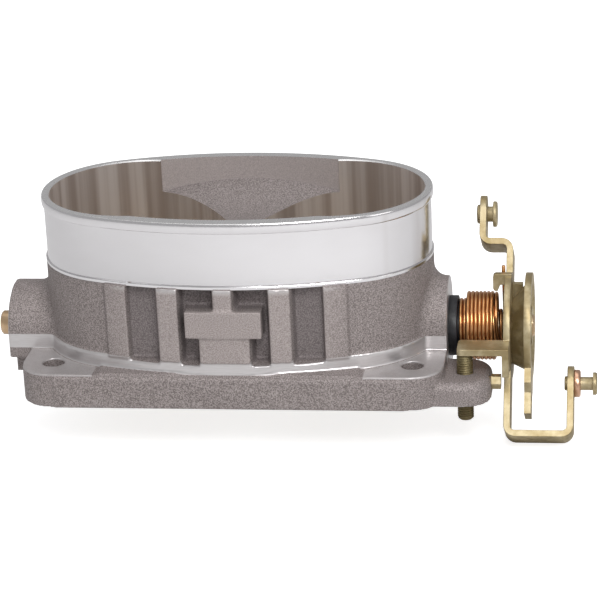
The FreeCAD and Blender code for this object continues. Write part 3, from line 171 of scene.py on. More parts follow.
def copy_of_node(node, name):
    """Welded copy of a CAD node's mesh as a new piece."""
    mesh = nodes[node].data.copy()
    thing = bpy.data.objects.new(name, mesh)
    bpy.context.scene.collection.objects.link(thing)
    shape = bmesh.new()
    shape.from_mesh(mesh)
    bmesh.ops.remove_doubles(shape, verts=shape.verts, dist=1e-6)
    shape.to_mesh(mesh)
    shape.free()
    mesh.materials.clear()
    return thing


def give_finish(thing, *finishes):
    """Replace an object's materials."""
    thing.data.materials.clear()
    for finish in finishes:
        thing.data.materials.append(finish)


def loft_rings(name, rings, smooth_angle=35):
    """Closed solid through rings of equal length, capped at both ends."""
    count = len(rings[0])
    points = [p for ring in rings for p in ring]
    faces = [tuple(range(count))[::-1], tuple(range((len(rings) - 1) * count, len(rings) * count))]
    for low in range(len(rings) - 1):
        for i in range(count):
            j = (i + 1) % count
            faces.append((low * count + i, low * count + j, (low + 1) * count + j, (low + 1) * count + i))
    return mesh_object(name, points, faces, smooth_angle)


def circle_ring(centre, radius, across, up, count):
    """Points of a circle in the plane of two unit vectors."""
    turns = [2 * math.pi * i / count for i in range(count)]
    return [centre + across * (radius * math.cos(a)) + up * (radius * math.sin(a)) for a in turns]


def turned(name, steps, centre, axis, count=96, smooth_angle=35):
    """Solid of revolution through (distance along the axis, radius) pairs."""
    across = axis.orthogonal().normalized()
    up = axis.cross(across)
    rings = [circle_ring(centre + axis * along, radius, across, up, count) for along, radius in steps]
    return loft_rings(name, rings, smooth_angle)


def long_arc(end, side):
    """Radius of an oval's long arcs, and how far their centres lie beyond the middle."""
    radius = (BORE_OFFSET ** 2 + side ** 2 - end ** 2) / (2 * (side - end))
    return radius, radius - side


def oval_ring(end, side, height, per_arc=72):
    """Points of the four-arc oval at a height."""
    long_radius, drop = long_arc(end, side)
    lean = math.atan2(BORE_OFFSET, drop)
    quarter = math.pi / 2
    arcs = (
        ((BORE_OFFSET, 0), end, lean - quarter, quarter - lean),
        ((0, -drop), long_radius, quarter - lean, quarter + lean),
        ((-BORE_OFFSET, 0), end, quarter + lean, 3 * quarter - lean),
        ((0, drop), long_radius, 3 * quarter - lean, 3 * quarter + lean),
    )
    points = []
    for (x, y), radius, first, last in arcs:
        for i in range(per_arc):
            turn = first + (last - first) * i / per_arc
            points.append(Vector((x + radius * math.cos(turn), y + radius * math.sin(turn), height)))
    return points


def box_object(name, low, high):
    """Axis-aligned box used as a cutting tool."""
    low, high = Vector(low), Vector(high)
    corners = ((low.x, low.y), (high.x, low.y), (high.x, high.y), (low.x, high.y))
    return loft_rings(name, [[Vector((x, y, z)) for x, y in corners] for z in (low.z, high.z)])


# ---------------------------------------------------------------- material helpers

class Look:
    """Node-based material under construction."""

    def __init__(self, name):
        self.material = bpy.data.materials.new(name)
        self.material.use_nodes = True
        self.tree = self.material.node_tree
        self.shader = self.tree.nodes["Principled BSDF"]
        coordinates = self.tree.nodes.new("ShaderNodeTexCoord")
        self.place = coordinates.outputs["Object"]

    def node(self, kind, settings=None, **inputs):
        """Add a node; inputs are values or sockets, by input name with underscores for spaces."""
        new = self.tree.nodes.new(kind)
        for name, value in (settings or {}).items():
            setattr(new, name, value)
        for name, value in inputs.items():
            self.feed(new.inputs[name.replace("_", " ")], value)
        return new

    def feed(self, socket, value):
        """Connect a socket, or set a plain value."""
        if isinstance(value, bpy.types.NodeSocket):
            self.tree.links.new(value, socket)
        else:
            socket.default_value = value

    def noise(self, scale, detail=2.0, roughness=0.5, place=None):
        """Noise value at a scale in cycles per metre."""
        new = self.node("ShaderNodeTexNoise", Vector=place or self.place, Scale=scale, Detail=detail,
                        Roughness=roughness)
        return new.outputs["Fac"]

    def stretched(self, x, y, z):
        """Object position with each axis scaled, for streaks and bands."""
        return self.node("ShaderNodeMapping", Vector=self.place, Scale=(x, y, z)).outputs["Vector"]

    def steps(self, value, low, high, from_value=0.0, to_value=1.0):
        """Smoothly map a value from a range to another, clamped."""
        new = self.node("ShaderNodeMapRange", {"interpolation_type": "SMOOTHSTEP"}, Value=value)
        self.feed(new.inputs["From Min"], low)
        self.feed(new.inputs["From Max"], high)
        self.feed(new.inputs["To Min"], from_value)
        self.feed(new.inputs["To Max"], to_value)
        return new.outputs["Result"]

    def maths(self, operation, first, second=0.0):
        """Simple arithmetic on values or sockets."""
        new = self.node("ShaderNodeMath", {"operation": operation})
        self.feed(new.inputs[0], first)
        self.feed(new.inputs[1], second)
        return new.outputs["Value"]

    def mix(self, factor, first, second):
        """Mix two colours, given as tuples or sockets."""
        new = self.node("ShaderNodeMix", {"data_type": "RGBA"})
        self.feed(new.inputs["Factor"], factor)
        colours = [socket for socket in new.inputs if socket.type == "RGBA"]
        self.feed(colours[0], first)
        self.feed(colours[1], second)
        return [socket for socket in new.outputs if socket.type == "RGBA"][0]

    def blend(self, factor, first, second):
        """Mix two values."""
        new = self.node("ShaderNodeMix", {"data_type": "FLOAT"})
        self.feed(new.inputs["Factor"], factor)
        numbers = [socket for socket in new.inputs if socket.type == "VALUE" and socket.name in ("A", "B")]
        self.feed(numbers[0], first)
        self.feed(numbers[1], second)
        return [socket for socket in new.outputs if socket.type == "VALUE"][0]

    def mix_vector(self, factor, first, second):
        """Mix two vectors."""
        new = self.node("ShaderNodeMix", {"data_type": "VECTOR"})
        self.feed(new.inputs["Factor"], factor)
        vectors = [socket for socket in new.inputs if socket.type == "VECTOR" and socket.name in ("A", "B")]
        self.feed(vectors[0], first)
        self.feed(vectors[1], second)
        return [socket for socket in new.outputs if socket.type == "VECTOR"][0]

    def bump(self, height, distance):
        """Bump of a real depth in metres."""
        return self.node("ShaderNodeBump", Height=height, Distance=distance, Strength=1.0).outputs["Normal"]

    def position(self):
        """Separate X, Y and Z of the object position."""
        parts = self.node("ShaderNodeSeparateXYZ", Vector=self.place)
        return parts.outputs["X"], parts.outputs["Y"], parts.outputs["Z"]

    def finish(self, colour, roughness, metallic, normal=None, **others):
        """Feed the main inputs of the shader."""
        self.feed(self.shader.inputs["Base Color"], colour)
        self.feed(self.shader.inputs["Roughness"], roughness)
        self.feed(self.shader.inputs["Metallic"], metallic)
        if normal:
            self.feed(self.shader.inputs["Normal"], normal)
        for name, value in others.items():
            self.feed(self.shader.inputs[name.replace("_", " ")], value)
        return self.material


def rgb(red, green, blue):
    """Opaque colour."""
    return (red, green, blue, 1.0)


def cast_layers(look):
    """Colour, roughness and bump of blasted cast aluminium."""
    grain = look.noise(2500, detail=3, roughness=0.65)
    fine = look.noise(7000, detail=2)
    patch = look.noise(60, detail=3)
    dark = look.mix(patch, rgb(0.140, 0.117, 0.113), rgb(0.190, 0.162, 0.155))
    light = look.mix(patch, rgb(0.365, 0.320, 0.311), rgb(0.435, 0.385, 0.373))
    colour = look.mix(look.steps(grain, 0.38, 0.62), dark, light)
    sparkle = look.steps(fine, 0.66, 0.78)
    colour = look.mix(look.maths("MULTIPLY", sparkle, 0.5), colour, rgb(0.64, 0.60, 0.575))
    roughness = look.blend(grain, 0.72, 0.48)
    height = look.maths("ADD", look.maths("MULTIPLY", grain, 0.7), look.maths("MULTIPLY", fine, 0.3))
    return colour, roughness, look.bump(height, 0.16 * MM)


def between(look, value, low, high, soft):
    """One where a value lies between two limits, fading over a soft width outside them."""
    return look.maths("MULTIPLY", look.steps(value, low - soft, low), look.steps(value, high + soft, high))


def outside_oval(look, end, side, x, y):
    """Distance of a place outside an oval of two end arcs and two long arcs."""
    long_radius, drop = long_arc(end, side)
    across, back = look.maths("ABSOLUTE", x), look.maths("ABSOLUTE", y)

    def from_centre(first, second, radius):
        squares = look.maths("ADD", look.maths("POWER", first, 2.0), look.maths("POWER", second, 2.0))
        return look.maths("SUBTRACT", look.maths("SQRT", squares), radius)
    at_end = from_centre(look.maths("SUBTRACT", across, BORE_OFFSET), back, end)
    at_side = from_centre(across, look.maths("ADD", back, drop), long_radius)
    beyond_join = look.maths("GREATER_THAN", look.maths("SUBTRACT", across, BORE_OFFSET),
                             look.maths("MULTIPLY", back, BORE_OFFSET / drop))
    return look.blend(beyond_join, at_side, at_end)


def machined_places(look, x, y, z, beyond):
    """One on the ground band, the ledge's lip, the spot faces, the mounting face and the boss ends."""
    half_length, half_width = look.maths("ABSOLUTE", x), look.maths("ABSOLUTE", y)
    on_boss = look.maths("MULTIPLY", look.steps(half_length, BOSS_START - 2 * MM, BOSS_START),
                         look.steps(half_width, BOSS_HALF + 0.5 * MM, BOSS_HALF))
    around = look.maths("MAXIMUM", between(look, beyond, -0.6 * MM, 0.35 * MM, 0.2 * MM), on_boss)
    band = look.maths("MULTIPLY", between(look, z, *FOOT, 0.15 * MM), around)
    lip = look.maths("MULTIPLY", look.steps(z, LEDGE_BOTTOM - 2.4 * MM, LEDGE_BOTTOM - 0.2 * MM, 0.0, 0.8),
                     look.steps(beyond, 0.3 * MM, 0.6 * MM))
    spots = look.maths("MULTIPLY", between(look, z, *SPOT_FACE, 0.1 * MM),
                       between(look, half_length, *SPOT_REACH, 0.5 * MM))
    spots = look.maths("MULTIPLY", spots, look.steps(look.noise(70, detail=3), 0.35, 0.6, 0.5, 0.8))
    underside = look.steps(z, 0.15 * MM, 0.05 * MM)
    ends = look.maths("MAXIMUM", look.steps(x, LEFT_END + 0.2 * MM, LEFT_END),
                      between(look, x, *RIGHT_END, 0.1 * MM))
    ends = look.maths("MULTIPLY", ends, look.steps(half_width, BOSS_FACE_HALF + 0.5 * MM, BOSS_FACE_HALF))
    total = band
    for place in (lip, spots, underside, ends):
        total = look.maths("MAXIMUM", total, place)
    return total


def cast_with_machining():
    """Cast skin of the housing: painted shade darkens its pockets, painted light lightens its ribs, and its
    machined places are bright.
    """
    look = Look("cast_aluminium")
    colour, roughness, cast_normal = cast_layers(look)
    x, y, z = look.position()
    beyond = outside_oval(look, *BAND, x, y)
    panels = look.maths("MULTIPLY", between(look, z, *PANEL, 0.5 * MM),
                        look.steps(look.maths("ABSOLUTE", x), PANEL_HALF, PANEL_HALF - 0.9 * MM))
    # painted shade on the pocket floors set back inside the band's oval, and painted light on the rib faces
    # standing proud of it
    pocket_painted_shade = look.maths("MULTIPLY", panels, look.steps(beyond, -1.2 * MM, -3.2 * MM, 0.0, 0.42))
    rib_painted_light = look.maths("MULTIPLY", panels, look.steps(beyond, 0.1 * MM, 0.7 * MM, 0.0, 0.28))
    # the dark colour is the pockets' painted shade, the light one the ribs' painted light
    colour = look.mix(pocket_painted_shade, colour, rgb(0.115, 0.098, 0.105))
    colour = look.mix(rib_painted_light, colour, rgb(0.62, 0.545, 0.525))
    machined = machined_places(look, x, y, z, beyond)
    scratches = look.noise(900, detail=2, place=look.stretched(0.25, 0.25, 3))
    metal = look.mix(scratches, rgb(0.53, 0.50, 0.495), rgb(0.70, 0.68, 0.685))
    metal_roughness = look.blend(scratches, 0.26, 0.42)
    fine_lines = look.bump(scratches, 0.02 * MM)
    normal = look.mix_vector(machined, cast_normal, fine_lines)
    return look.finish(look.mix(machined, colour, metal), look.blend(machined, roughness, metal_roughness),
                       look.blend(machined, 0.35, 0.75), normal)


def cast_plain():
    """Cast skin alone, for the hollow between the bores, darkened a little as painted shade; painted light makes
    its upright walls lighter than its floor.
    """
    look = Look("cast_hollow")
    colour, roughness, normal = cast_layers(look)
    facing = look.node("ShaderNodeNewGeometry").outputs["True Normal"]
    upwards = look.node("ShaderNodeSeparateXYZ", Vector=facing).outputs["Z"]
    # painted light on faces that stand upright; the 0.15 mix towards dark is painted shade over the whole hollow
    upright = look.steps(upwards, 0.5, 0.1, 0.0, 0.45)
    colour = look.mix(upright, look.mix(0.15, colour, rgb(0.1, 0.09, 0.09)), rgb(0.66, 0.59, 0.575))
    return look.finish(colour, roughness, 0.25, normal)


def polished_collar():
    """Polished collar with faint turning marks around it and a few upright brown reflections."""
    look = Look("polished_aluminium")
    lines = look.noise(1500, detail=3, roughness=0.7, place=look.stretched(0.02, 0.02, 1))
    haze = look.noise(90, detail=4, place=look.stretched(1, 1, 2.5))
    colour = look.mix(haze, rgb(0.78, 0.76, 0.77), rgb(0.86, 0.845, 0.86))
    streak = look.steps(look.noise(42, detail=3, place=look.stretched(1, 1, 0.03)), 0.60, 0.72)
    colour = look.mix(look.maths("MULTIPLY", streak, 0.35), colour, rgb(0.42, 0.36, 0.33))
    roughness = look.blend(haze, 0.13, 0.24)
    return look.finish(colour, roughness, 1.0, look.bump(lines, 0.006 * MM))


def machined_bore():
    """Bored wall with faint vertical streaks of reflected brown."""
    look = Look("machined_bore")
    streaks = look.noise(160, detail=3, roughness=0.6, place=look.stretched(1, 1, 0.02))
    hone = look.noise(2600, detail=2, place=look.stretched(0.04, 0.04, 1))
    colour = look.mix(look.steps(streaks, 0.35, 0.68), rgb(0.50, 0.43, 0.39), rgb(0.80, 0.745, 0.71))
    roughness = look.blend(streaks, 0.30, 0.42)
    return look.finish(colour, roughness, 0.75, look.bump(hone, 0.008 * MM))


def rim_metal():
    """Freshly faced rim and chamfers."""
    look = Look("faced_rim")
    lines = look.noise(700, detail=2, place=look.stretched(1, 0.2, 1))
    colour = look.mix(lines, rgb(0.80, 0.79, 0.785), rgb(0.88, 0.87, 0.87))
    return look.finish(colour, look.blend(lines, 0.2, 0.34), 1.0, look.bump(lines, 0.003 * MM))


def plated(name, base, tint, shadow, rough_low=0.40, rough_high=0.58):
    """Zinc-plated pressed steel with cloudy passivation and rolling marks."""
    look = Look(name)
    cloud = look.noise(120, detail=5, roughness=0.62)
    iridescent = look.noise(260, detail=3)
    marks = look.noise(1400, detail=3, place=look.stretched(0.3, 1.6, 0.5))
    colour = look.mix(look.steps(cloud, 0.35, 0.68), base, tint)
    colour = look.mix(look.maths("MULTIPLY", look.steps(iridescent, 0.55, 0.75), 0.45), colour, shadow)
    roughness = look.blend(cloud, rough_low, rough_high)
    return look.finish(colour, roughness, 0.8, look.bump(marks, 0.014 * MM))


def wire_metal(name, base, tint):
    """Drawn wire with faint lengthwise tone changes."""
    look = Look(name)
    tone = look.noise(220, detail=3)
    pits = look.noise(3200, detail=2)
    colour = look.mix(look.steps(tone, 0.3, 0.7), base, tint)
    return look.finish(colour, look.blend(pits, 0.24, 0.36), 1.0, look.bump(pits, 0.004 * MM))


def turned_metal(name, base, tint, roughness=0.3):
    """Lathe-turned metal with rings along X."""
    look = Look(name)
    rings = look.noise(2600, detail=2, place=look.stretched(1, 0.03, 0.03))
    tone = look.noise(150, detail=3)
    colour = look.mix(look.steps(tone, 0.3, 0.7), base, tint)
    return look.finish(colour, look.blend(rings, roughness * 0.8, roughness * 1.3), 1.0,
                       look.bump(rings, 0.015 * MM))


def sheet_metal(name, base, tint):
    """Rolled sheet with lengthwise grain."""
    look = Look(name)
    grain = look.noise(1200, detail=3, place=look.stretched(0.06, 1, 1))
    tone = look.noise(70, detail=3)
    colour = look.mix(look.steps(tone, 0.3, 0.7), base, tint)
    return look.finish(colour, look.blend(grain, 0.28, 0.42), 1.0, look.bump(grain, 0.012 * MM))


def moulded(name, colour, roughness, scale=1800):
    """Moulded plastic or rubber with a fine pebble."""
    look = Look(name)
    pebble = look.noise(scale, detail=2)
    dust = look.noise(240, detail=4)
    lighter = tuple(min(1.0, channel * 1.9 + 0.006) for channel in colour[:3]) + (1.0,)
    tone = look.mix(look.steps(dust, 0.45, 0.75), colour, lighter)
    return look.finish(tone, look.blend(pebble, roughness * 0.85, roughness * 1.15), 0.0,
                       look.bump(pebble, 0.02 * MM))


# ---------------------------------------------------------------- housing

def bore_axis(sign):
    """Foot of the left (-1) or right (1) bore's axis."""
    return Vector((sign * BORE_OFFSET, 0, 0))


def liner_tools(radius, low, high, count=192):
    """A cylinder around each bore axis."""
    steps = ((low, radius), (high, radius))
    return [turned("liner_tool", steps, bore_axis(sign), UP, count) for sign in (-1, 1)]


def shaft_tool():
    """Cylinder around the shaft, through both bores' walls."""
    steps = ((-BARREL_REACH, SHAFT_PASSAGE), (BARREL_REACH, SHAFT_PASSAGE))
    return turned("shaft_tool", steps, Vector((0, 0, SHAFT_Z)), Vector((1, 0, 0)), 64)


def collar_solid():
    """Ledge, collar and rounded bead as one solid oval."""
    def grown(pair, amount):
        return pair[0] + amount, pair[1] + amount
    rings = [oval_ring(*LEDGE, LEDGE_BOTTOM), oval_ring(*LEDGE, COLLAR_BOTTOM - 0.2 * MM),
             oval_ring(*grown(LEDGE, -0.12 * MM), COLLAR_BOTTOM)]
    for inset, rise in ((0.06, 0.15), (0.0, 0.4)):
        rings.append(oval_ring(*grown(COLLAR, inset * MM), COLLAR_BOTTOM + rise * MM))
    rings.append(oval_ring(*COLLAR, BEAD_BOTTOM - 0.1 * MM))
    bead_middle = (BEAD_BOTTOM + RIM_TOP) / 2
    half_height = (RIM_TOP - BEAD_BOTTOM) / 2
    bead_steps = 14
    for i in range(bead_steps + 1):
        turn = math.pi * (i / bead_steps - 0.5)
        fullness = math.copysign(abs(math.sin(turn)) ** 0.85, math.sin(turn))
        rings.append(oval_ring(*grown(COLLAR, BEAD_PROUD * math.cos(turn) ** 0.6),
                               bead_middle + half_height * fullness))
    return loft_rings("housing_collar", rings)


def hollow_tool():
    """The saddle-floored hollow between the bores, as a solid to cut away."""
    def wall(x):
        return math.sqrt(HOLLOW_SIDE_ARC ** 2 - x ** 2) - (HOLLOW_SIDE_ARC - HOLLOW_SIDE)

    def floor(y):
        beyond = max(0.0, abs(y) - HOLLOW_FLAT)
        return HOLLOW_FLOOR + HOLLOW_CURVE - math.sqrt(HOLLOW_CURVE ** 2 - beyond ** 2)
    slices, across = 48, 64
    rings = []
    for i in range(slices + 1):
        x = HOLLOW_HALF * (2 * i / slices - 1)
        side = wall(x)
        ring = [Vector((x, side * (2 * j / across - 1), 0)) for j in range(across + 1)]
        for point in ring:
            point.z = floor(point.y)
        top = RIM_TOP + 2 * MM
        rings.append(ring + [Vector((x, side, top)), Vector((x, -side, top))])
    return loft_rings("hollow_tool", rings)


def bore_tool(sign):
    """Bore with a small chamfer at the rim."""
    steps = ((-2 * MM, BORE_RADIUS), (RIM_TOP - RIM_CHAMFER, BORE_RADIUS),
             (RIM_TOP + RIM_CHAMFER, BORE_RADIUS + 2 * RIM_CHAMFER))
    return turned("bore_tool", steps, bore_axis(sign), UP, 256)


def housing_machined(finishes):
    """Collar, bored liners and the hollow: everything of the housing that is crisp."""
    piece = collar_solid()
    for tool in liner_tools(LINER_RADIUS, 0.02 * MM, LEDGE_BOTTOM + 2 * MM):
        boolean(piece, tool, "UNION")
    for sign in (-1, 1):
        boolean(piece, bore_tool(sign), "DIFFERENCE")
    boolean(piece, hollow_tool(), "DIFFERENCE")
    boolean(piece, shaft_tool(), "DIFFERENCE")
    give_finish(piece, *(finishes[name] for name in ("polished", "bore", "rim", "hollow")))
    for face in piece.data.polygons:
        face.material_index = housing_zone(face.center, face.normal)
    shade(piece, 30)
    return piece


def housing_zone(centre, normal):
    """Which finish a face of the machined housing has: 0 polished, 1 bore, 2 rim, 3 cast hollow."""
    from_axis = min(math.hypot(centre.x - sign * BORE_OFFSET, centre.y) for sign in (-1, 1))
    outward = normal.x * centre.x + normal.y * centre.y
    if normal.z > 0.6 and centre.z > RIM_TOP - 0.6 * MM:
        return 2
    if abs(from_axis - BORE_RADIUS) < 0.15 * MM and abs(normal.z) < 0.3:
        return 1
    if from_axis < BORE_RADIUS + 1.2 * MM and centre.z > RIM_TOP - 0.6 * MM:
        return 2
    inside = abs(centre.x) < HOLLOW_HALF + 0.1 * MM and abs(centre.y) < HOLLOW_SIDE + 0.1 * MM
    if inside and centre.z > HOLLOW_FLOOR - 0.1 * MM and outward < 0.002 or (inside and normal.z > 0.2):
        return 3
    return 0


def housing_cast(finishes):
    """Cast skin below the ledge and outside the liners, softened the way a casting is."""
    zone = box_object("cast_zone", (-120 * MM, -70 * MM, -10 * MM), (120 * MM, 70 * MM, LEDGE_BOTTOM))
    for tool in liner_tools(LINER_RADIUS - 0.05 * MM, -20 * MM, 90 * MM, 128):
        boolean(zone, tool, "DIFFERENCE")
    piece = copy_of_node("throttle_housing", "housing_cast")
    boolean(piece, zone, "INTERSECT")
    remesh = piece.modifiers.new("remesh", "REMESH")
    remesh.mode = "VOXEL"
    remesh.voxel_size = 0.5 * MM
    apply_modifiers(piece)
    soften(piece, rounds=3)
    give_finish(piece, finishes["cast"])
    for face in piece.data.polygons:
        face.use_smooth = True
    return piece


def soften(piece, rounds):
    """Round the edges of the casting, but not at its mounting face or where it meets the ledge."""
    soft = piece.vertex_groups.new(name="soft")
    for vertex in piece.data.vertices:
        if 1.2 * MM <= vertex.co.z <= LEDGE_BOTTOM - 0.8 * MM:
            soft.add([vertex.index], 1.0, "REPLACE")
    smooth = piece.modifiers.new("soften", "SMOOTH")
    smooth.factor = 0.5
    smooth.iterations = rounds
    smooth.vertex_group = "soft"
    apply_modifiers(piece)


# ---------------------------------------------------------------- springs and threads

def swept_tube(name, path, radius, sides=14):
    """Round wire along a path of points, with slightly domed ends."""
    count = len(path)
    tangents = [(path[min(i + 1, count - 1)] - path[max(i - 1, 0)]).normalized() for i in range(count)]
    across = tangents[0].orthogonal().normalized()
    rings = []
    for i, (point, along) in enumerate(zip(path, tangents)):
        across = (across - along * across.dot(along)).normalized()
        up = along.cross(across)
        if i == 0:
            rings.append(circle_ring(point - along * radius * 0.25, radius * 0.7, across, up, sides))
        rings.append(circle_ring(point, radius, across, up, sides))
        if i == count - 1:
            rings.append(circle_ring(point + along * radius * 0.25, radius * 0.7, across, up, sides))
    return loft_rings(name, rings, 60)


def spring_point(across, radius, angle):
    """Point on a spring's centre line; the angle is from +Y towards +Z, in degrees."""
    turn = math.radians(angle)
    return Vector((across, radius * math.cos(turn), SHAFT_Z + radius * math.sin(turn)))


def coil_path(stretches, steps_per_turn=48):
    """Points of a wound wire, through stretches of (across, radius, angle) reached one by one."""
    points = []
    for (x0, r0, a0), (x1, r1, a1) in zip(stretches, stretches[1:]):
        steps = max(6, round((a1 - a0) / 360 * steps_per_turn))
        for i in range(steps):
            part = i / steps
            points.append(spring_point(x0 + (x1 - x0) * part, r0 + (r1 - r0) * part, a0 + (a1 - a0) * part))
    points.append(spring_point(*stretches[-1]))
    return points


def leg_path(across, radius, angle, near, far, steps):
    """Points of a straight leg that leaves a coil along its tangent, between two distances."""
    turn = math.radians(angle)
    touch = spring_point(across, radius, angle)
    along = Vector((0, -math.sin(turn), math.cos(turn)))
    return [touch + along * (near + (far - near) * i / (steps - 1)) for i in range(steps)]


def eased(path, rounds=2):
    """Path with its small corners averaged away; the ends stay."""
    for _ in range(rounds):
        inner = [(a + b * 2 + c) / 4 for a, b, c in zip(path, path[1:], path[2:])]
        path = [path[0]] + inner + [path[-1]]
    return path


def anchored_start(radius):
    """Angle at which a coil leaves its leg beside the anchor pin, and the leg's length to the pin."""
    beside = radius + ANCHOR_PIN + WIRE + 0.05 * MM
    along = math.sqrt(ANCHOR_RADIUS ** 2 - beside ** 2)
    return ANCHOR_ANGLE + math.degrees(math.atan2(along, beside)), along


def turns_on(start, end, turns):
    """Angle of an end direction, after a start angle and about so many turns."""
    return start + 360 * turns + (end - start) % 360


def outer_spring(finishes):
    """Large coils, then small ones around the shaft and a leg up behind the lever's hook."""
    left, right, radius = 83.1 * MM, 93.3 * MM, 12.0 * MM
    small, small_right = 5.55 * MM, 96.2 * MM
    start, beside_pin = anchored_start(radius)
    hook = math.hypot(HOOK_HEIGHT, HOOK_SIDE)
    back = math.degrees(math.asin(HOOK_SIDE / hook))
    lead, reach = math.degrees(math.acos(small / hook)), math.sqrt(hook ** 2 - small ** 2)
    coil_stop = turns_on(start, 60, 7)
    small_stop = turns_on(coil_stop, 90 - back - lead, 1)
    path = leg_path(left, radius, start, -beside_pin - 3.5 * MM, -LEG_GAP, 12)
    path += coil_path(((left, radius, start), (right, radius, coil_stop),
                       (right + 1.2 * WIRE, small, coil_stop + 150), (small_right, small, small_stop)))
    path += leg_path(small_right, small, small_stop, LEG_GAP, reach + 2.2 * MM, 14)
    sprung("outer_spring", "outer_return_spring", path, finishes)


def inner_spring(finishes):
    """Even coils around the nylon guide, and a leg under the lever's rear lug."""
    left, right, last, radius = 80.43 * MM, 92.4 * MM, 94.5 * MM, 9.4 * MM
    start, beside_pin = anchored_start(radius)
    stop = turns_on(start, -90, 8)
    path = leg_path(left, radius, start, -beside_pin - 2.5 * MM, -LEG_GAP, 12)
    path += coil_path(((left, radius, start), (right, radius, stop - 150), (last, radius, stop)))
    path += leg_path(last, radius, stop, LEG_GAP, 16 * MM, 12)
    sprung("inner_spring", "inner_return_spring", path, finishes)


def sprung(name, node, path, finishes):
    """Spring wire wound between the housing and the throttle."""
    piece = swept_tube(name, eased(path), WIRE, 16)
    give_finish(piece, finishes["copper_wire"])
    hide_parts(node)
    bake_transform(piece)


def threaded_rod(name, low, high, radius, pitch, depth, chamfer, sides=48, per_pitch=10):
    """Rod along Z with a helical thread cut into it and chamfered ends."""
    rows = int(round((high - low) / pitch * per_pitch))
    rings = []
    for row in range(rows + 1):
        z = low + (high - low) * row / rows
        ring = []
        for i in range(sides):
            turn = 2 * math.pi * i / sides
            phase = (z / pitch - turn / (2 * math.pi)) % 1.0
            tooth = 1 - abs(2 * phase - 1)
            cut = depth * min(1.0, max(0.0, (tooth - 0.12) / 0.76))
            tip = min(z - low, high - z)
            taper = max(0.0, chamfer - tip)
            r = min(radius - cut, radius - taper)
            ring.append(Vector((r * math.cos(turn), r * math.sin(turn), z)))
        rings.append(ring)
    return loft_rings(name, rings, 50)


def stop_screw(finishes):
    """Idle stop screw with its thread cut and a hexagon socket in its foot."""
    low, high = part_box("idle_stop_screw")
    foot = Vector(((low.x + high.x) / 2, (low.y + high.y) / 2, 0))
    piece = threaded_rod("idle_screw_thread", low.z, high.z, radius=2.95 * MM, pitch=0.9 * MM,
                         depth=0.42 * MM, chamfer=0.7 * MM)
    piece.data.transform(Matrix.Translation(foot))
    socket_radius, socket_depth = 1.72 * MM, 3 * MM
    steps = ((low.z - MM, socket_radius), (low.z + socket_depth, socket_radius))
    boolean(piece, turned("socket", steps, foot, UP, 6), "DIFFERENCE")
    shade(piece, 50)
    give_finish(piece, finishes["dark_zinc"])
    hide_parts("idle_stop_screw")
    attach(piece, "idle_screw")


# ---------------------------------------------------------------- staging

def studio_world():
    """White surroundings as the camera sees them, and softer ones for light and reflections."""
    world = bpy.data.worlds.new("studio")
    bpy.context.scene.world = world
    world.use_nodes = True
    tree = world.node_tree
    seen = tree.nodes["Background"]
    seen.inputs["Color"].default_value = rgb(1, 1, 1)
    soft = tree.nodes.new("ShaderNodeBackground")
    soft.inputs["Color"].default_value = rgb(0.97, 0.97, 0.98)
    soft.inputs["Strength"].default_value = 0.42
    rays = tree.nodes.new("ShaderNodeLightPath")
    chosen = tree.nodes.new("ShaderNodeMixShader")
    tree.links.new(rays.outputs["Is Camera Ray"], chosen.inputs[0])
    tree.links.new(soft.outputs[0], chosen.inputs[1])
    tree.links.new(seen.outputs[0], chosen.inputs[2])
    tree.links.new(chosen.outputs[0], tree.nodes["World Output"].inputs["Surface"])


def studio_floor():
    """Plain white floor just under the part."""
    half = 3.0
    corners = [(-half, -half, 0), (half, -half, 0), (half, half, 0), (-half, half, 0)]
    floor = mesh_object("floor", corners, [(0, 1, 2, 3)])
    floor.location.z = cad_low.z - 0.4 * MM
    look = Look("floor_paint")
    tone = look.noise(3, detail=2)
    paint = look.mix(tone, rgb(0.78, 0.78, 0.78), rgb(0.80, 0.80, 0.80))
    seen = look.node("ShaderNodeLightPath").outputs["Is Camera Ray"]
    floor.data.materials.append(look.finish(paint, 0.9, 0.0, Emission_Color=rgb(1, 1, 1),
                                            Emission_Strength=look.maths("MULTIPLY", seen, 0.75)))


def studio_lamps():
    """Soft lamps: a key from the front, a weak fill from the right and a wide one above."""
    aim = Vector((0, 0, 30 * MM))
    lamps = (
        ("key", (0.28, -0.78, 0.80), 0.45, 7.4),
        ("fill", (0.9, -0.5, 0.45), 0.5, 0.9),
        ("top", (-0.1, 0.1, 1.1), 0.8, 2.6),
    )
    for name, place, size, power in lamps:
        data = bpy.data.lights.new(name, "AREA")
        data.size = size
        data.energy = power
        lamp = bpy.data.objects.new(name, data)
        lamp.location = place
        lamp.rotation_mode = "QUATERNION"
        lamp.rotation_quaternion = (aim - Vector(place)).to_track_quat("-Z", "Y")
        bpy.context.scene.collection.objects.link(lamp)


def camera():
    """Camera a little above the front and towards the lever's side."""
    azimuth, elevation, roll = math.radians(8.412), math.radians(20.343), math.radians(2.649)
    distance = 966.684 * MM
    target = Vector((19.9, 11.1, 21.7)) * MM
    data = bpy.data.cameras.new("camera")
    data.sensor_width = 36.0
    data.lens = 156.14
    thing = bpy.data.objects.new("camera", data)
    bpy.context.scene.collection.objects.link(thing)
    level = math.cos(elevation)
    backwards = Vector((math.sin(azimuth) * level, -math.cos(azimuth) * level, math.sin(elevation)))
    thing.location = target + backwards * distance
    thing.rotation_mode = "QUATERNION"
    thing.rotation_quaternion = backwards.to_track_quat("Z", "Y") @ Quaternion((0, 0, 1), -roll)
    bpy.context.scene.camera = thing


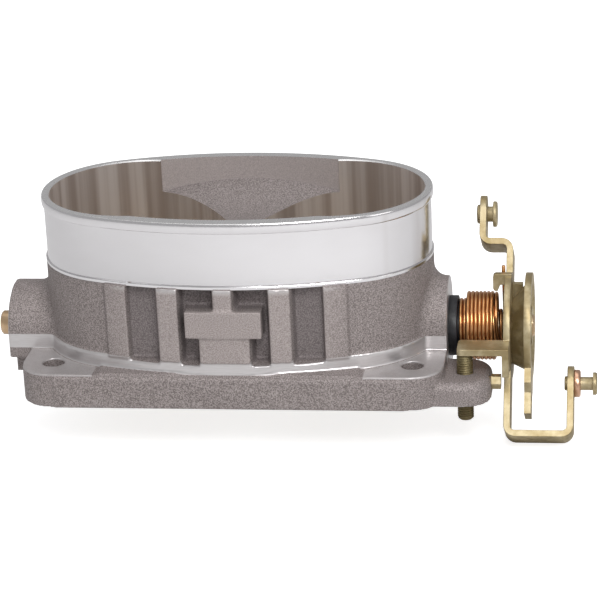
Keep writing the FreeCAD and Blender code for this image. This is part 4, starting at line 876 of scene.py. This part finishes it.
def dress(thing, finish):
    """Give a CAD node its finish, and break its sharp edges a little."""
    give_finish(thing, finish)
    weld = thing.modifiers.new("weld", "WELD")
    weld.merge_threshold = 0.001 * MM
    flat = thing.modifiers.new("flat_faces", "DECIMATE")
    flat.decimate_type = "DISSOLVE"
    flat.angle_limit = math.radians(1.5)
    edge = thing.modifiers.new("broken_edges", "BEVEL")
    edge.width = 0.22 * MM
    edge.segments = 2
    edge.limit_method = "ANGLE"
    edge.angle_limit = math.radians(40)
    edge.harden_normals = True


def make_finishes():
    """Every material by name: five for the housing, and one for each of the record's other slots."""
    return {
        "cast": cast_with_machining(),
        "hollow": cast_plain(),
        "polished": polished_collar(),
        "bore": machined_bore(),
        "rim": rim_metal(),
        "yellow_zinc": plated("yellow_zinc", rgb(0.34, 0.265, 0.14), rgb(0.56, 0.48, 0.31),
                              rgb(0.24, 0.18, 0.065)),
        "bronze": sheet_metal("bronze", rgb(0.45, 0.32, 0.16), rgb(0.55, 0.40, 0.22)),
        "seal_rubber": moulded("seal_rubber", rgb(0.02, 0.02, 0.02), 0.6),
        "black_nylon": moulded("black_nylon", rgb(0.008, 0.008, 0.010), 0.46),
        "bright_steel": turned_metal("bright_steel", rgb(0.55, 0.55, 0.54), rgb(0.66, 0.66, 0.64)),
        "dark_zinc": plated("dark_zinc", rgb(0.20, 0.16, 0.08), rgb(0.32, 0.27, 0.15), rgb(0.1, 0.09, 0.05)),
        "brass_shaft": turned_metal("brass_shaft", rgb(0.62, 0.44, 0.27), rgb(0.72, 0.54, 0.36), 0.36),
        "brass_plate": sheet_metal("brass_plate", rgb(0.58, 0.45, 0.22), rgb(0.68, 0.55, 0.30)),
        "copper_collar": turned_metal("copper_collar", rgb(0.66, 0.40, 0.27), rgb(0.75, 0.50, 0.36)),
        "copper_wire": wire_metal("copper_wire", rgb(0.60, 0.29, 0.115), rgb(0.76, 0.41, 0.19)),
    }


def main():
    """Build every piece, dress the CAD nodes and set the stage."""
    finishes = make_finishes()
    for piece in (housing_machined(finishes), housing_cast(finishes)):
        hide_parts("throttle_housing")
        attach(piece, "housing")
    outer_spring(finishes)
    inner_spring(finishes)
    stop_screw(finishes)
    for part in frame["record"]["subparts"]:
        if part["material_slot"] in finishes:
            dress(nodes[part["node"]], finishes[part["material_slot"]])
    bpy.context.scene.view_settings.view_transform = "Standard"
    studio_world()
    studio_floor()
    studio_lamps()
    camera()


main()
